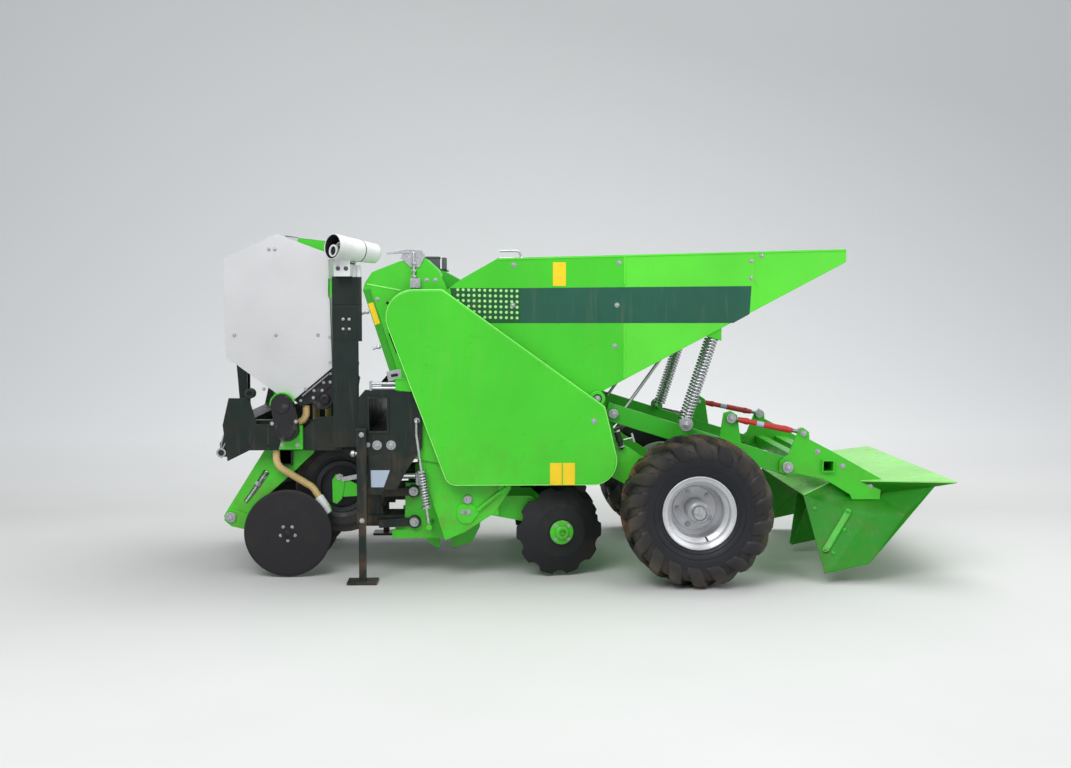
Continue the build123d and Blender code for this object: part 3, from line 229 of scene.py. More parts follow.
def strap(bm, a, b, width, side, face, thick):
    """Flat bar between two (x, z) places, on a face of one side."""
    plate(bm, bar_outline(a, b, width), side, face, thick)


def boss(bm, profile, side, place, face, sides=28):
    """Revolved form that stands on a face of one side."""
    turned(bm, profile, point(place[0], side * face, place[1]), (0, side, 0), sides)


def bolt(bm, spot, direction, head=9.0):
    """Washer and hexagon head with a thread end; head is the radius over corners in millimetres."""
    washer = 0.22 * head
    rise = washer + 0.75 * head
    disc(bm, spot, direction, 1.5 * head, 0, washer, 18)
    turned(bm, [(0, washer), (head, washer), (head, rise - 0.12 * head), (0.86 * head, rise), (0, rise)],
           spot, direction, 6)
    turned(bm, [(0, rise), (0.5 * head, rise), (0.5 * head, rise + 0.25 * head), (0, rise + 0.4 * head)],
           spot, direction, 12)


def bolts(bm, side, face, head, places):
    """Bolts of one size on a face of one side."""
    for x, z in places:
        bolt(bm, point(x, side * face, z), (0, side, 0), head)


def washer_bolt(bm, spot, direction, wide, head):
    """Bolt on a wide turned washer."""
    turned(bm, [(0, 0), (wide, 0), (wide, 3), (wide - 3, 6), (0, 6)], spot, direction, 28)
    bolt(bm, spot + Vector(direction) * (6 * MM), direction, head)


def nut(bm, centre, direction, head, thick):
    disc(bm, centre, direction, head, -thick / 2, thick / 2, 6)


def thread(bm, start, end, radius, pitch=4.0):
    """Threaded bar between two points."""
    length = (end - start).length / MM
    profile = [(0, 0)]
    for i in range(int(length / pitch)):
        profile += [(0.84 * radius, pitch * i), (radius, pitch * (i + 0.5))]
    turned(bm, profile + [(0.84 * radius, length), (0, length)], start, end - start, 12)


def stand(name, bm, material):
    """Puts a built mesh into the scene as an object."""
    mesh = bpy.data.meshes.new(name)
    bm.to_mesh(mesh)
    bm.free()
    mesh.shade_smooth()
    mesh.materials.append(material)
    made = bpy.data.objects.new(name, mesh)
    bpy.context.scene.collection.objects.link(made)
    return made


def piece(name, bm, material, body=CHASSIS, bevel=0.0, sharp=35):
    """Turns a built mesh into a named piece that rides on a body; bevel in millimetres."""
    bmesh.ops.recalc_face_normals(bm, faces=bm.faces)
    made = stand(name, bm, material)
    made.data.set_sharp_from_angle(angle=math.radians(sharp))
    if bevel:
        edges = made.modifiers.new("edges", "BEVEL")
        edges.width = bevel * MM
        edges.segments = 2
        edges.limit_method = "ANGLE"
        edges.angle_limit = math.radians(40)
    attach(made, body)
    return made


def both_sides(name, build, material, bevel=0.0):
    """A piece for each side; build gets the mesh and the side's sign."""
    for side, word in SIDE_WORDS:
        bm = bmesh.new()
        build(bm, side)
        piece(name + "_" + word, bm, material, bevel=bevel)


# Materials


def srgb(red, green, blue):
    """Linear colour from screen values of 0 to 255."""
    channels = []
    for value in (red, green, blue):
        share = value / 255
        channels.append(share / 12.92 if share <= 0.04045 else ((share + 0.055) / 1.055) ** 2.4)
    return (*channels, 1.0)


def shade(colour, factor):
    return (*(min(1.0, channel * factor) for channel in colour[:3]), 1.0)


DUST = srgb(168, 150, 120)
SOIL = srgb(112, 82, 58)


class Graph:
    """A node tree in the making: adds nodes, sets their inputs and links them."""

    def __init__(self, owner):
        owner.use_nodes = True
        self.tree = owner.node_tree
        self.tree.nodes.clear()

    def add(self, kind, inputs=None, **properties):
        made = self.tree.nodes.new(kind)
        for key, value in properties.items():
            setattr(made, key, value)
        for key, value in (inputs or {}).items():
            self.feed(made.inputs[key], value)
        return made

    def feed(self, socket, value):
        if isinstance(value, bpy.types.NodeSocket):
            self.tree.links.new(value, socket)
        else:
            socket.default_value = value

    def combine(self, operation, a, b):
        return self.add("ShaderNodeMath", {0: a, 1: b}, operation=operation).outputs[0]


class Finish(Graph):
    """A material in the making, with the patterns that the finishes share."""

    def __init__(self, name):
        self.material = bpy.data.materials.new(name)
        super().__init__(self.material)
        self.shader = self.add("ShaderNodeBsdfPrincipled")
        self.add("ShaderNodeOutputMaterial", {"Surface": self.shader.outputs[0]})
        self.where = self.add("ShaderNodeTexCoord").outputs["Object"]

    def set(self, **values):
        """Sets or links inputs of the shader; an underscore stands for a space."""
        for key, value in values.items():
            self.feed(self.shader.inputs[key.replace("_", " ")], value)

    def noise(self, scale, detail=3.0, stretch=None):
        where = self.where
        if stretch:
            where = self.add("ShaderNodeMapping", {"Vector": where, "Scale": stretch}).outputs[0]
        inputs = {"Vector": where, "Scale": scale, "Detail": detail}
        return self.add("ShaderNodeTexNoise", inputs).outputs[0]

    def ramp(self, value, low, high, start=0.0, end=1.0):
        """Value mapped from low..high to start..end and held at the ends."""
        inputs = {0: value, 1: low, 2: high, 3: start, 4: end}
        return self.add("ShaderNodeMapRange", inputs).outputs[0]

    def patches(self, scale, detail, low=0.3, high=0.7, start=0.0, end=1.0):
        """Noise mapped from low..high to start..end."""
        return self.ramp(self.noise(scale, detail), low, high, start, end)

    def times(self, a, b):
        return self.combine("MULTIPLY", a, b)

    def blend(self, share, a, b):
        """Colour a where share is 0, b where it is 1."""
        return self.add("ShaderNodeMix", {0: share, 6: a, 7: b}, data_type="RGBA").outputs[2]

    def mottled(self, colour, dark, light, scale, detail, low=0.3, high=0.7):
        """A colour that wanders between a darker and a lighter tone."""
        return self.blend(self.patches(scale, detail, low, high), shade(colour, dark), shade(colour, light))

    def height(self):
        return self.add("ShaderNodeSeparateXYZ", {0: self.where}).outputs["Z"]

    def edges(self, radius):
        """A mask of the edges, where colours show wear and a painted highlight, and the normal with its
        edges rounded off.
        """
        soft = self.add("ShaderNodeBevel", {"Radius": radius}, samples=4).outputs[0]
        flat = self.add("ShaderNodeNewGeometry").outputs["Normal"]
        turn = self.add("ShaderNodeVectorMath", {0: soft, 1: flat}, operation="DOT_PRODUCT")
        return self.ramp(turn.outputs["Value"], 0.995, 0.85), soft

    def bump(self, height, strength, distance=0.001, normal=None):
        inputs = {"Height": height, "Strength": strength, "Distance": distance}
        if normal:
            inputs["Normal"] = normal
        self.set(Normal=self.add("ShaderNodeBump", inputs).outputs[0])

    def from_axis(self, x, z):
        """Distance in metres from a cross axis at x, z."""
        parts = self.add("ShaderNodeSeparateXYZ", {0: self.where})
        dx = self.combine("SUBTRACT", parts.outputs["X"], x)
        dz = self.combine("SUBTRACT", parts.outputs["Z"], z)
        both = self.add("ShaderNodeCombineXYZ", {0: dx, 1: dz}).outputs[0]
        return self.add("ShaderNodeVectorMath", {0: both}, operation="LENGTH").outputs["Value"]


def paint(name, colour, rough=0.3, soil=0.5, chips=0.5, metal=0.0, bare=None, sheen=0.35):
    """Sprayed coat: uneven tone, rain streaks, soil low down, edges rubbed thin; the edges also carry a
    painted highlight.
    """
    made = Finish(name)
    base = made.mottled(colour, 0.9, 1.05, 2.2, 4, 0.35, 0.65)
    streak = made.ramp(made.noise(5.0, 4, (10, 10, 0.8)), 0.56, 0.8, 0.0, 0.10)
    base = made.blend(streak, base, DUST)
    low = made.ramp(made.height(), 0.8, 0.08)
    base = made.blend(made.times(low, made.patches(11.0, 7, 0.44, 0.7, 0.0, soil)), base, SOIL)
    edge, soft = made.edges(0.003)
    rubbed_and_highlight = made.patches(38.0, 5, 0.4, 0.62, 0.0, chips)
    # Lighter colour on the edges: partly paint rubbed thin, partly a painted highlight; unless a bare colour
    # is given, it is a paler copy of the paint.
    base = made.blend(made.times(edge, rubbed_and_highlight), base, bare or shade(colour, 1.9))
    made.set(Base_Color=base, Metallic=metal, Specular_IOR_Level=sheen)
    made.set(Coat_Weight=0.2 * sheen, Coat_Roughness=0.2)
    made.set(Roughness=made.patches(16.0, 5, 0.3, 0.75, rough - 0.05, rough + 0.16))
    made.bump(made.noise(520.0, 2), 0.05, 0.0006, soft)
    return made.material


def bare_sheet(name, colour, rough=0.42):
    """Plain metallic sheet with faint brushing and hand marks."""
    made = Finish(name)
    brush = made.noise(7.0, 5, (3, 3, 60))
    base = made.mottled(colour, 0.9, 1.0, 1.6, 5)
    base = made.blend(made.ramp(brush, 0.35, 0.75, 0.0, 0.18), base, shade(colour, 0.72))
    edge, soft = made.edges(0.002)
    # Edges turned paler all round: painted highlight.
    base = made.blend(made.times(edge, 0.5), base, shade(colour, 1.5))
    made.set(Base_Color=base, Metallic=0.35)
    made.set(Roughness=made.patches(4.0, 6, start=rough - 0.08, end=rough + 0.14))
    made.bump(brush, 0.06, 0.0004, soft)
    return made.material


def zinc(name, colour=srgb(190, 192, 196), rough=0.34):
    """Plated fastener or bright steel with a mottled plating."""
    made = Finish(name)
    spangle = made.noise(140.0, 4)
    base = made.blend(made.ramp(spangle, 0.35, 0.7), shade(colour, 0.7), colour)
    low = made.ramp(made.height(), 0.7, 0.1)
    grime = made.times(low, made.patches(45.0, 5, 0.45, 0.7, 0.0, 0.5))
    base = made.blend(grime, base, SOIL)
    made.set(Base_Color=base, Metallic=0.85)
    made.set(Roughness=made.patches(60.0, 4, start=rough - 0.08, end=rough + 0.15))
    made.bump(spangle, 0.08, 0.0003)
    return made.material


def plastic(name, colour, rough=0.5, grain=900.0):
    """Moulded plastic with a fine grain, scuffs and settled dust."""
    made = Finish(name)
    base = made.mottled(colour, 0.85, 1.1, 6.0, 5)
    base = made.blend(made.patches(24.0, 6, 0.58, 0.8, 0.0, 0.25), base, DUST)
    made.set(Base_Color=base, Specular_IOR_Level=0.3)
    made.set(Roughness=made.patches(12.0, 5, start=rough - 0.1, end=rough + 0.12))
    made.bump(made.noise(grain, 2), 0.12, 0.0004, made.edges(0.002)[1])
    return made.material


def ribbed_hose(name, colour):
    """Ribbed plastic hose: rings that follow the hose down, with a stained surface."""
    made = Finish(name)
    base = made.mottled(colour, 0.72, 1.0, 9.0, 5, 0.35, 0.7)
    base = made.blend(made.patches(40.0, 6, 0.55, 0.75, 0.0, 0.3), base, SOIL)
    made.set(Base_Color=base, Roughness=made.patches(30.0, 4, start=0.38, end=0.6))
    rings = made.add("ShaderNodeTexWave", {"Vector": made.where, "Scale": 26.0, "Distortion": 0.3},
                     bands_direction="Z")
    made.bump(rings.outputs[1], 0.35, 0.002)
    return made.material


def rubber(name, hub, tread):
    """Tyre rubber about a wheel axis: clean dark wall, soil dried on the tread."""
    made = Finish(name)
    black = srgb(23, 24, 29)
    radius = made.from_axis(hub.x, hub.z)
    base = made.mottled(black, 0.8, 1.25, 8.0, 5)
    shoulder = made.ramp(radius, tread - 0.11, tread - 0.02)
    base = made.blend(made.times(shoulder, made.patches(6.0, 6, 0.4, 0.7, 0.02, 0.16)), base, DUST)
    outer = made.ramp(radius, tread - 0.03, tread - 0.002)
    crust = made.times(outer, made.patches(9.0, 7, 0.45, 0.68, 0.0, 0.8))
    base = made.blend(crust, base, SOIL)
    made.set(Base_Color=base, Specular_IOR_Level=0.3)
    made.set(Roughness=made.patches(18.0, 5, start=0.4, end=0.66))
    made.bump(made.noise(260.0, 5), 0.2, 0.0009)
    return made.material


def tool_steel(name, axis_x, axis_z, colour, soil):
    """Soil-working disc: dark steel with rings scoured by the ground."""
    made = Finish(name)
    radius = made.from_axis(axis_x, axis_z)
    lathe = made.add("ShaderNodeTexNoise", {"W": made.times(radius, 160.0), "Scale": 1.0, "Detail": 4.0},
                     noise_dimensions="1D").outputs[0]
    base = made.blend(made.ramp(lathe, 0.3, 0.7), shade(colour, 0.85), shade(colour, 1.2))
    base = made.blend(made.patches(7.0, 7, 0.56, 0.8, 0.0, soil), base, SOIL)
    made.set(Base_Color=base, Metallic=0.2, Specular_IOR_Level=0.3)
    made.set(Roughness=made.patches(20.0, 6, start=0.38, end=0.62))
    made.bump(lathe, 0.12, 0.0006, made.edges(0.002)[1])
    return made.material



REAR_HUB = middle("rear_tyre_left")
REAR_RADIUS = radius_of("rear_tyre_left")
GAUGE_HUB = middle("gauge_tyre_left")
GAUGE_RADIUS = radius_of("gauge_tyre_left")
COULTER_HUB = middle("fertiliser_disc_left_outer")
COVER_HUB = middle("covering_disc_left_outer")

green = paint("green_paint", srgb(68, 198, 40))
# Paler copy of the green for faces that catch the light: painted highlight.
lit_pale_green = paint("lit_pale_green_paint", srgb(90, 216, 54), rough=0.34)
# Paler still for the hood's roof, lit from above: painted light.
lit_roof_green = paint("lit_roof_green_paint", srgb(150, 226, 118), rough=0.3, soil=0.2)
# Darker copy of the green for folds turned away from the light: painted shade.
shaded_fold_green = paint("shaded_fold_green_paint", srgb(52, 158, 36), soil=0.3)
# Darker copy of the green for the hood's wings, which lie in shade: painted shade.
shaded_wing_green = paint("shaded_wing_green_paint", srgb(32, 130, 24), rough=0.45, soil=0.25, sheen=0.2)
# Darker copy of the green for the hood's arms, boots and braces, which lie in shade: painted shade.
shaded_arm_green = paint("shaded_arm_green_paint", srgb(52, 176, 34), soil=0.4)
# Bright green for lines along edges and creases: painted highlight.
highlight_green = paint("highlight_green_paint", srgb(140, 240, 110), rough=0.25, soil=0.1)
frame_paint = paint("frame_paint", srgb(24, 36, 33), rough=0.36, soil=0.6, bare=srgb(96, 106, 100),
                    sheen=0.25)
red = paint("red_paint", srgb(188, 52, 40), rough=0.35, soil=0.2)
stripe_film = paint("stripe_film", srgb(26, 84, 66), rough=0.38, soil=0.2, chips=0.2)
dot_ground = paint("dot_ground", srgb(14, 82, 36), rough=0.38, soil=0.2, chips=0.2)
dot_film = paint("dot_film", srgb(170, 235, 150), rough=0.4, soil=0.2, chips=0.1)
yellow_film = paint("yellow_film", srgb(244, 206, 30), rough=0.4, soil=0.2, chips=0.3)
silver_paint = paint("silver_paint", srgb(200, 202, 206), rough=0.36, soil=0.35, metal=0.45,
                     bare=srgb(215, 216, 218))
grey_sheet = bare_sheet("grey_sheet", srgb(206, 206, 208))
galvanised = bare_sheet("galvanised", srgb(186, 188, 190))
dull_steel = bare_sheet("dull_steel", srgb(44, 45, 48), 0.5)
plated = zinc("plated")
spring_steel = zinc("spring_steel", srgb(205, 208, 212), 0.3)
black_plastic = plastic("black_plastic", srgb(30, 30, 33), 0.48)
grey_plastic = plastic("grey_plastic", srgb(90, 90, 98), 0.5)
white_plastic = plastic("white_plastic", srgb(222, 224, 224), 0.42)
pale_film = plastic("pale_film", srgb(176, 190, 208), 0.4)
hose_plastic = ribbed_hose("hose_plastic", srgb(214, 186, 124))
belt_rubber = plastic("belt_rubber", srgb(24, 24, 26), 0.7, 500.0)
dark_glass = plastic("dark_glass", srgb(14, 15, 18), 0.16)
rear_rubber = rubber("rear_rubber", REAR_HUB, REAR_RADIUS)
gauge_rubber = rubber("gauge_rubber", GAUGE_HUB, GAUGE_RADIUS)
coulter_steel = tool_steel("coulter_steel", COULTER_HUB.x, COULTER_HUB.z, srgb(36, 35, 38), 0.05)
cover_steel = tool_steel("cover_steel", COVER_HUB.x, COVER_HUB.z, srgb(32, 33, 35), 0.2)

# The slot light_green_paint gets the paler, lit copy of the green: painted highlight.
SLOT_FINISH = {
    "green_paint": green,
    "light_green_paint": lit_pale_green,
    "dark_green_paint": frame_paint,
    "grey_sheet": grey_sheet,
    "black_plastic": black_plastic,
    "white_plastic": white_plastic,
    "hose_plastic": hose_plastic,
    "belt_rubber": belt_rubber,
    "bright_steel": plated,
    "red_paint": red,
    "rim_silver": silver_paint,
}
# The roof gets the lit copy of the green; the wings, arms and boots get darker shaded copies: painted light
# and painted shade.
NODE_FINISH = {
    "hood_roof": lit_roof_green, "hood_wings": shaded_wing_green, "hood_arms": shaded_arm_green, "drop_boots": shaded_arm_green,
    "gauge_rim_left": dull_steel, "gauge_rim_right": dull_steel,
}


def finish_of(node, slot):
    """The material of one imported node: its own, its kind's, or its slot's."""
    if node in NODE_FINISH:
        return NODE_FINISH[node]
    for start, material in (("rear_tyre", rear_rubber), ("gauge_tyre", gauge_rubber),
                            ("fertiliser_disc", coulter_steel), ("covering_disc_left", cover_steel),
                            ("covering_disc_right", cover_steel)):
        if node.startswith(start):
            return material
    return SLOT_FINISH[slot]


def dress_nodes():
    """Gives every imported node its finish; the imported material's name is the node's slot."""
    for node, thing in NODES.items():
        slot = thing.material_slots[0].material.name.split(".")[0]
        for place in thing.material_slots:
            place.material = finish_of(node, slot)


dress_nodes()


# Potato hopper: stripe, dots, blank patches, bolts


FILM = 0.8
STRIPE = [(-296, 1227), (718, 1227), (794, 1269), (802, 1402), (-296, 1392)]
DOT_FIELD = [(-603, 1262), (-592, 1227), (-296, 1227), (-296, 1392), (-626, 1392)]
FILMS = [("hopper_stripe", STRIPE, stripe_film), ("dot_ground", DOT_FIELD, dot_ground)]
FIRST_DOT = (-310, 1378)
DOT_PITCH = 25.4
DOT_CLIMB = 0.6
DOT_SIZE = 15.0
DOT_ROWS = 6
DOT_COLUMNS = 12
HOPPER_BOLTS = [(-325, 1501), (172, 1511), (163, 1312), (153, 1118), (-330, 1312)]
GUARD_BOLT = (50, 768)
PATCHES = [  # columns: x from, x to, z from, z to, face
    (-141, -79, 1402, 1514, HOPPER_FACE),
    (-157, -101, 466, 571, GUARD_FACE),
    (-96, -39, 466, 571, GUARD_FACE),
]


def hopper_marks():
    for side, word in SIDE_WORDS:
        for name, outline, film in FILMS:
            bm = bmesh.new()
            plate(bm, outline, side, HOPPER_FACE, FILM)
            piece(name + "_" + word, bm, film)
        bm = bmesh.new()
        for row in range(DOT_ROWS):
            for column in range(DOT_COLUMNS):
                x = FIRST_DOT[0] - column * DOT_PITCH
                z = FIRST_DOT[1] - row * DOT_PITCH + column * DOT_CLIMB
                plate(bm, polygon(x, z, DOT_SIZE / 2, 8, math.tau / 16), side, HOPPER_FACE + 0.6, FILM)
        piece("dots_" + word, bm, dot_film)
        bm = bmesh.new()
        for x0, x1, z0, z1, face in PATCHES:
            plate(bm, box_outline(x0, x1, z0, z1), side, face, 0.7)
        piece("blank_patches_" + word, bm, yellow_film, bevel=0.3)
        bm = bmesh.new()
        bolts(bm, side, HOPPER_FACE, 8, HOPPER_BOLTS)
        bolts(bm, side, GUARD_FACE, 9, [GUARD_BOLT])
        piece("hopper_bolts_" + word, bm, plated)


hopper_marks()


# Rear wheels


LUGS_A_SIDE = 18
LUG_STATIONS = [  # columns: across the tread, foot radius, rise, half width, lean back of the bar
    (-9, 321, 34.0, 15.0, 57),
    (22, 323, 32.0, 15.0, 33),
    (58, 323, 30.5, 19.0, 5),
    (92, 319, 29.5, 24.5, -19),
    (116, 309, 27.0, 29.5, -33),
    (126, 294, 11.0, 32.0, -41),
    (128, 276, 8.0, 31.0, -47),
    (129, 252, 2.0, 25.0, -52),
]
LUG_SECTION = [  # columns: shares of the half width and of the rise
    (-1.25, -0.12), (-0.95, 0.9), (-0.75, 1.0), (0.75, 1.0), (0.95, 0.9), (1.25, -0.12),
]
CASING = [  # columns: radius, across the wheel; one half, from the bead to the crown
    (154, 98), (166, 101), (174, 103), (180, 108), (200, 118), (226, 126), (252, 129.5), (276, 129),
    (292, 126), (306, 120), (316, 110), (322, 96), (325.5, 70), (327, 36), (327, 0),
]
WALL_BEADS = (190, 214, 262)


def wall_at(radius):
    """Half width of the casing at a radius."""
    for (r0, out0), (r1, out1) in zip(CASING, CASING[1:]):
        if r0 <= radius <= r1:
            return out0 + (out1 - out0) * (radius - r0) / (r1 - r0)


def lug(bm, hub, start, flank):
    """One bar of the tread, from the middle of the crown out over a shoulder."""
    rings = []
    for k, (across, foot, rise, half_width, back) in enumerate(LUG_STATIONS):
        before = LUG_STATIONS[max(k - 1, 0)]
        after = LUG_STATIONS[min(k + 1, len(LUG_STATIONS) - 1)]
        slope = math.atan2(before[1] - after[1], after[0] - before[0])
        ring = []
        for wide, high in LUG_SECTION:
            radius = foot + math.cos(slope) * rise * high
            sideways = across + math.sin(slope) * rise * high
            angle = start - (back + wide * half_width) / radius
            ring.append(hub + point(math.sin(angle) * radius, flank * sideways, math.cos(angle) * radius))
        rings.append(ring)
    capped(bm, rings)


def rear_tyre(word):
    """Casing with beads round its walls, and the bars of the tread."""
    hub = middle("rear_tyre_" + word)
    axle = (0, 1, 0)
    bm = bmesh.new()
    turned(bm, CASING + [(radius, -out) for radius, out in CASING[-2::-1]], hub, axle, 96, closed=True)
    for radius in WALL_BEADS:
        out = wall_at(radius)
        for face in SIDES:
            bead = [(radius - 3, face * (out - 1)), (radius - 1.5, face * (out + 1.6)),
                    (radius + 1.5, face * (out + 1.6)), (radius + 3, face * (out - 1))]
            turned(bm, bead, hub, axle, 96, closed=True)
    for flank in SIDES:
        for i in range(LUGS_A_SIDE):
            lug(bm, hub, math.tau / LUGS_A_SIDE * (i + 0.25 * flank), flank)
    made = piece("tyre_" + word, bm, rear_rubber, "rear_wheel_" + word, sharp=42)
    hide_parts("rear_tyre_" + word)


WHEEL_BOLT_ANGLES = [45, 113, 181, 247, 326]
WHEEL_BOLT_CIRCLE = 83
WHEEL_DISC = -62
HUB_END = 92
AXLE_END = 112
AXLE_RADIUS = 32.5
RIM_BEADS = [  # columns: radius, out, bead radius
    (168, 106, 4.0), (147, 80, 2.5), (127, 38, 3.0), (104, -62, 2.5),
]


def wheel_fittings(word, side):
    """Wheel bolts and hub ring, axle end, beads of the rim, valve."""
    hub = middle("rear_rim_" + word)
    hub.y = middle("rear_tyre_" + word).y
    out = Vector((0, side, 0))
    bm = bmesh.new()
    for degrees in WHEEL_BOLT_ANGLES:
        x = WHEEL_BOLT_CIRCLE * math.cos(math.radians(degrees))
        z = WHEEL_BOLT_CIRCLE * math.sin(math.radians(degrees))
        bolt(bm, hub + point(x, side * WHEEL_DISC, z), out, 10)
    turned(bm, [(38, HUB_END), (48, HUB_END), (48, HUB_END + 4), (44, HUB_END + 8), (38, HUB_END + 8)],
           hub, out, 40, closed=True)
    piece("wheel_bolts_" + word, bm, plated, "rear_wheel_" + word)
    bm = bmesh.new()
    sleeve(bm, hub, out, 30, AXLE_RADIUS, HUB_END + 5, AXLE_END, 32)
    turned(bm, [(0, AXLE_END), (AXLE_RADIUS, AXLE_END), (27, AXLE_END + 6), (0, AXLE_END + 6)], hub, out, 32)
    bolt(bm, hub + out * ((AXLE_END + 6) * MM), out, 9)
    piece("axle_cap_" + word, bm, plated)
    bm = bmesh.new()
    for radius, across, thick in RIM_BEADS:
        turned(bm, polygon(radius, across, thick, 10), hub, out, 72, closed=True)
    piece("rim_beads_" + word, bm, silver_paint, "rear_wheel_" + word)
    bm = bmesh.new()
    spot = hub + point(38, side * 40, -122)
    tube(bm, [spot, spot + point(2, side * 22, -4), spot + point(5, side * 40, -10)], 4.0, 10)
    piece("valve_" + word, bm, black_plastic, "rear_wheel_" + word)


for side, word in SIDE_WORDS:
    rear_tyre(word)
    wheel_fittings(word, side)


# Springs


SPRING_TOP = (628, 1153)
SPRING_LOW = (500.6, 757.3)
SPRING_PLANES = (458, 578)
TRIP_TOP = (-786, 700)
TRIP_LOW = (-730, 277)
TRIP_PLANE = 648
TRIP_COLLAR = 23


def springs():
    """Hood springs on their rods, and the openers' trip springs between two collars."""
    bm = bmesh.new()
    for side in SIDES:
        for y in SPRING_PLANES:
            low, top = (point(x, side * y, z) for x, z in (SPRING_LOW, SPRING_TOP))
            helix(bm, low, top, 19.5, 5.0, 27)
            tube(bm, [low, top], 9)
        top, low = (point(x, side * TRIP_PLANE, z) for x, z in (TRIP_TOP, TRIP_LOW))
        way = low - top
        helix(bm, top + way * 0.42, top + way * 0.80, 18.5, 4.2, 12)
        tube(bm, [top, low], 7)
        disc(bm, top + way * 0.41, way, TRIP_COLLAR, -4, 3, 18)
        disc(bm, top + way * 0.81, way, TRIP_COLLAR, -3, 4, 18)
    made = piece("wound_springs", bm, spring_steel, sharp=50)
    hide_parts("springs")


springs()


# Bolts of the fertiliser hopper, end plates, tower, chain cover, stays and discs


HEX_BOLTS = [
    (-1476, 1573), (-1448, 1573), (-1642, 1170), (-1448, 1170), (-1250, 1170), (-1507, 916), (-1311, 916),
]
END_PLATE_BOLTS = [(-972, 652), (-906, 652)]
TOWER_FACE = 620
TOWER_BOLTS = [(-1128, 1246), (-1100, 1246), (-1128, 1200), (-1100, 1200)]
CHAIN_COVER_FACE = 655
CHAIN_COVER_SCREWS = [(-1462, 757), (-1350, 766)]
STAY_BOLTS = [(-1424, 650), (-1352, 650)]
DISC_BOLT_CIRCLE = 36
DISC_BOLTS = 5
DISC_BOLT_SINK = 7
FIRST_DISC_BOLT = math.radians(-18)


def front_fasteners():
    for side, word in SIDE_WORDS:
        bm = bmesh.new()
        bolts(bm, side, FERTILISER_FACE, 6, HEX_BOLTS)
        bolts(bm, side, END_PLATE_FACE, 15, END_PLATE_BOLTS)
        piece("front_bolts_" + word, bm, plated)
    bm = bmesh.new()
    bolts(bm, -1, TOWER_FACE, 8, TOWER_BOLTS)
    bolts(bm, -1, CHAIN_COVER_FACE, 6, CHAIN_COVER_SCREWS)
    bolts(bm, -1, FERTILISER_FACE, 7, STAY_BOLTS)
    piece("tower_bolts", bm, plated)


def disc_bolts():
    """Bolts on each fertiliser disc, on the face away from its arm."""
    for node in NODES:
        if not node.startswith("fertiliser_disc_"):
            continue
        low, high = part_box(node)
        out = -1 if middle(node).y < 0 else 1
        if "outer" not in node:
            out = -out
        face = low.y if out < 0 else high.y
        centre = Vector((COULTER_HUB.x, face - out * DISC_BOLT_SINK * MM, COULTER_HUB.z))
        across, over = Vector((1, 0, 0)), Vector((0, 0, 1))
        bm = bmesh.new()
        for spot in circle(centre, across, over, DISC_BOLT_CIRCLE * MM, DISC_BOLTS, FIRST_DISC_BOLT):
            bolt(bm, spot, (0, out, 0), 5.5)
        piece("bolts_" + node, bm, plated, node)


front_fasteners()
disc_bolts()


# Small fittings, built for both sides of the machine


UNIT_FOOT = (-655, 191)
LEAN_SINE = 0.3045
LEAN_COSINE = 0.9525


def lean(u, v):
    """Place on a planting unit's cheek: u up its front edge, v to its rear."""
    return (UNIT_FOOT[0] - LEAN_SINE * u + LEAN_COSINE * v, UNIT_FOOT[1] + LEAN_COSINE * u + LEAN_SINE * v)


SEAMS = [(200, 962, 1222), (200, 1410, 1544), (825, 1406, 1560)]  # columns: x, lower end, upper end
RIM_FOLD = [(-400, 1527), (1250, 1571)]
FOLD_WIDTH = 5


def hopper_trim(bm, s):
    """Lapped seams of the side sheets above and below the stripe, and the fold along their top edge."""
    for x, low, high in SEAMS:
        plate(bm, box_outline(x - 6, x + 6, low, high), s, HOPPER_FACE, 2.5)
    front, rear = RIM_FOLD
    plate(bm, [(front[0], front[1] + FOLD_WIDTH), (rear[0], rear[1] + FOLD_WIDTH), rear, front], s, 586, 18)
    strap(bm, front, rear, 7, s, HOPPER_FACE, 3)


HANDLE = [(-392, 1566), (-388, 1567), (-312, 1567), (-301, 1564), (-295, 1556), (-292, 1544), (-291, 1530)]
HANDLE_PLANE = 598


def hopper_handle(bm, s):
    """Bent rod, open at its front end, with a welded foot."""
    tube(bm, [point(x, s * HANDLE_PLANE, z) for x, z in HANDLE], 5.5)
    foot = point(-291, s * HANDLE_PLANE, 1531)
    turned(bm, [(0, 0), (13, 0), (11, 4), (6, 8), (0, 8)], foot, (0, 0, 1), 20)


BEARING = (70, 868)


def unit_trim(bm, s):
    """Bearing tab on the side frame, and the box on the toolbar's end plate."""
    boss(bm, [(0, 0), (38, 0), (38, 6), (35, 9), (22, 9), (22, 5), (0, 5)], s, BEARING, FRAME_FACE, 36)
    block(bm, (-885, -808), (s * CHEEK_FACE, s * 640), (905, 965))
    block(bm, (-891, -802), (s * CHEEK_FACE, s * 645), (962, 968))


def unit_flange(bm, s):
    """Folded flange along the front edge of the unit cheek."""
    plate(bm, [lean(745, 0), lean(1251, 0), lean(1246, 32), lean(745, 32)], s, CHEEK_FACE, 3)
    strap(bm, lean(745, 32), lean(1246, 32), 5, s, CHEEK_FACE, 6)


GUARD_EDGE = [  # corners of the drive guard with the radius of each corner
    (-983, 1387, 131), (-660, 1387, 30), (104, 836, 20), (192, 463, 115), (-639, 463, 60),
]
EDGE_INSET = 3.5


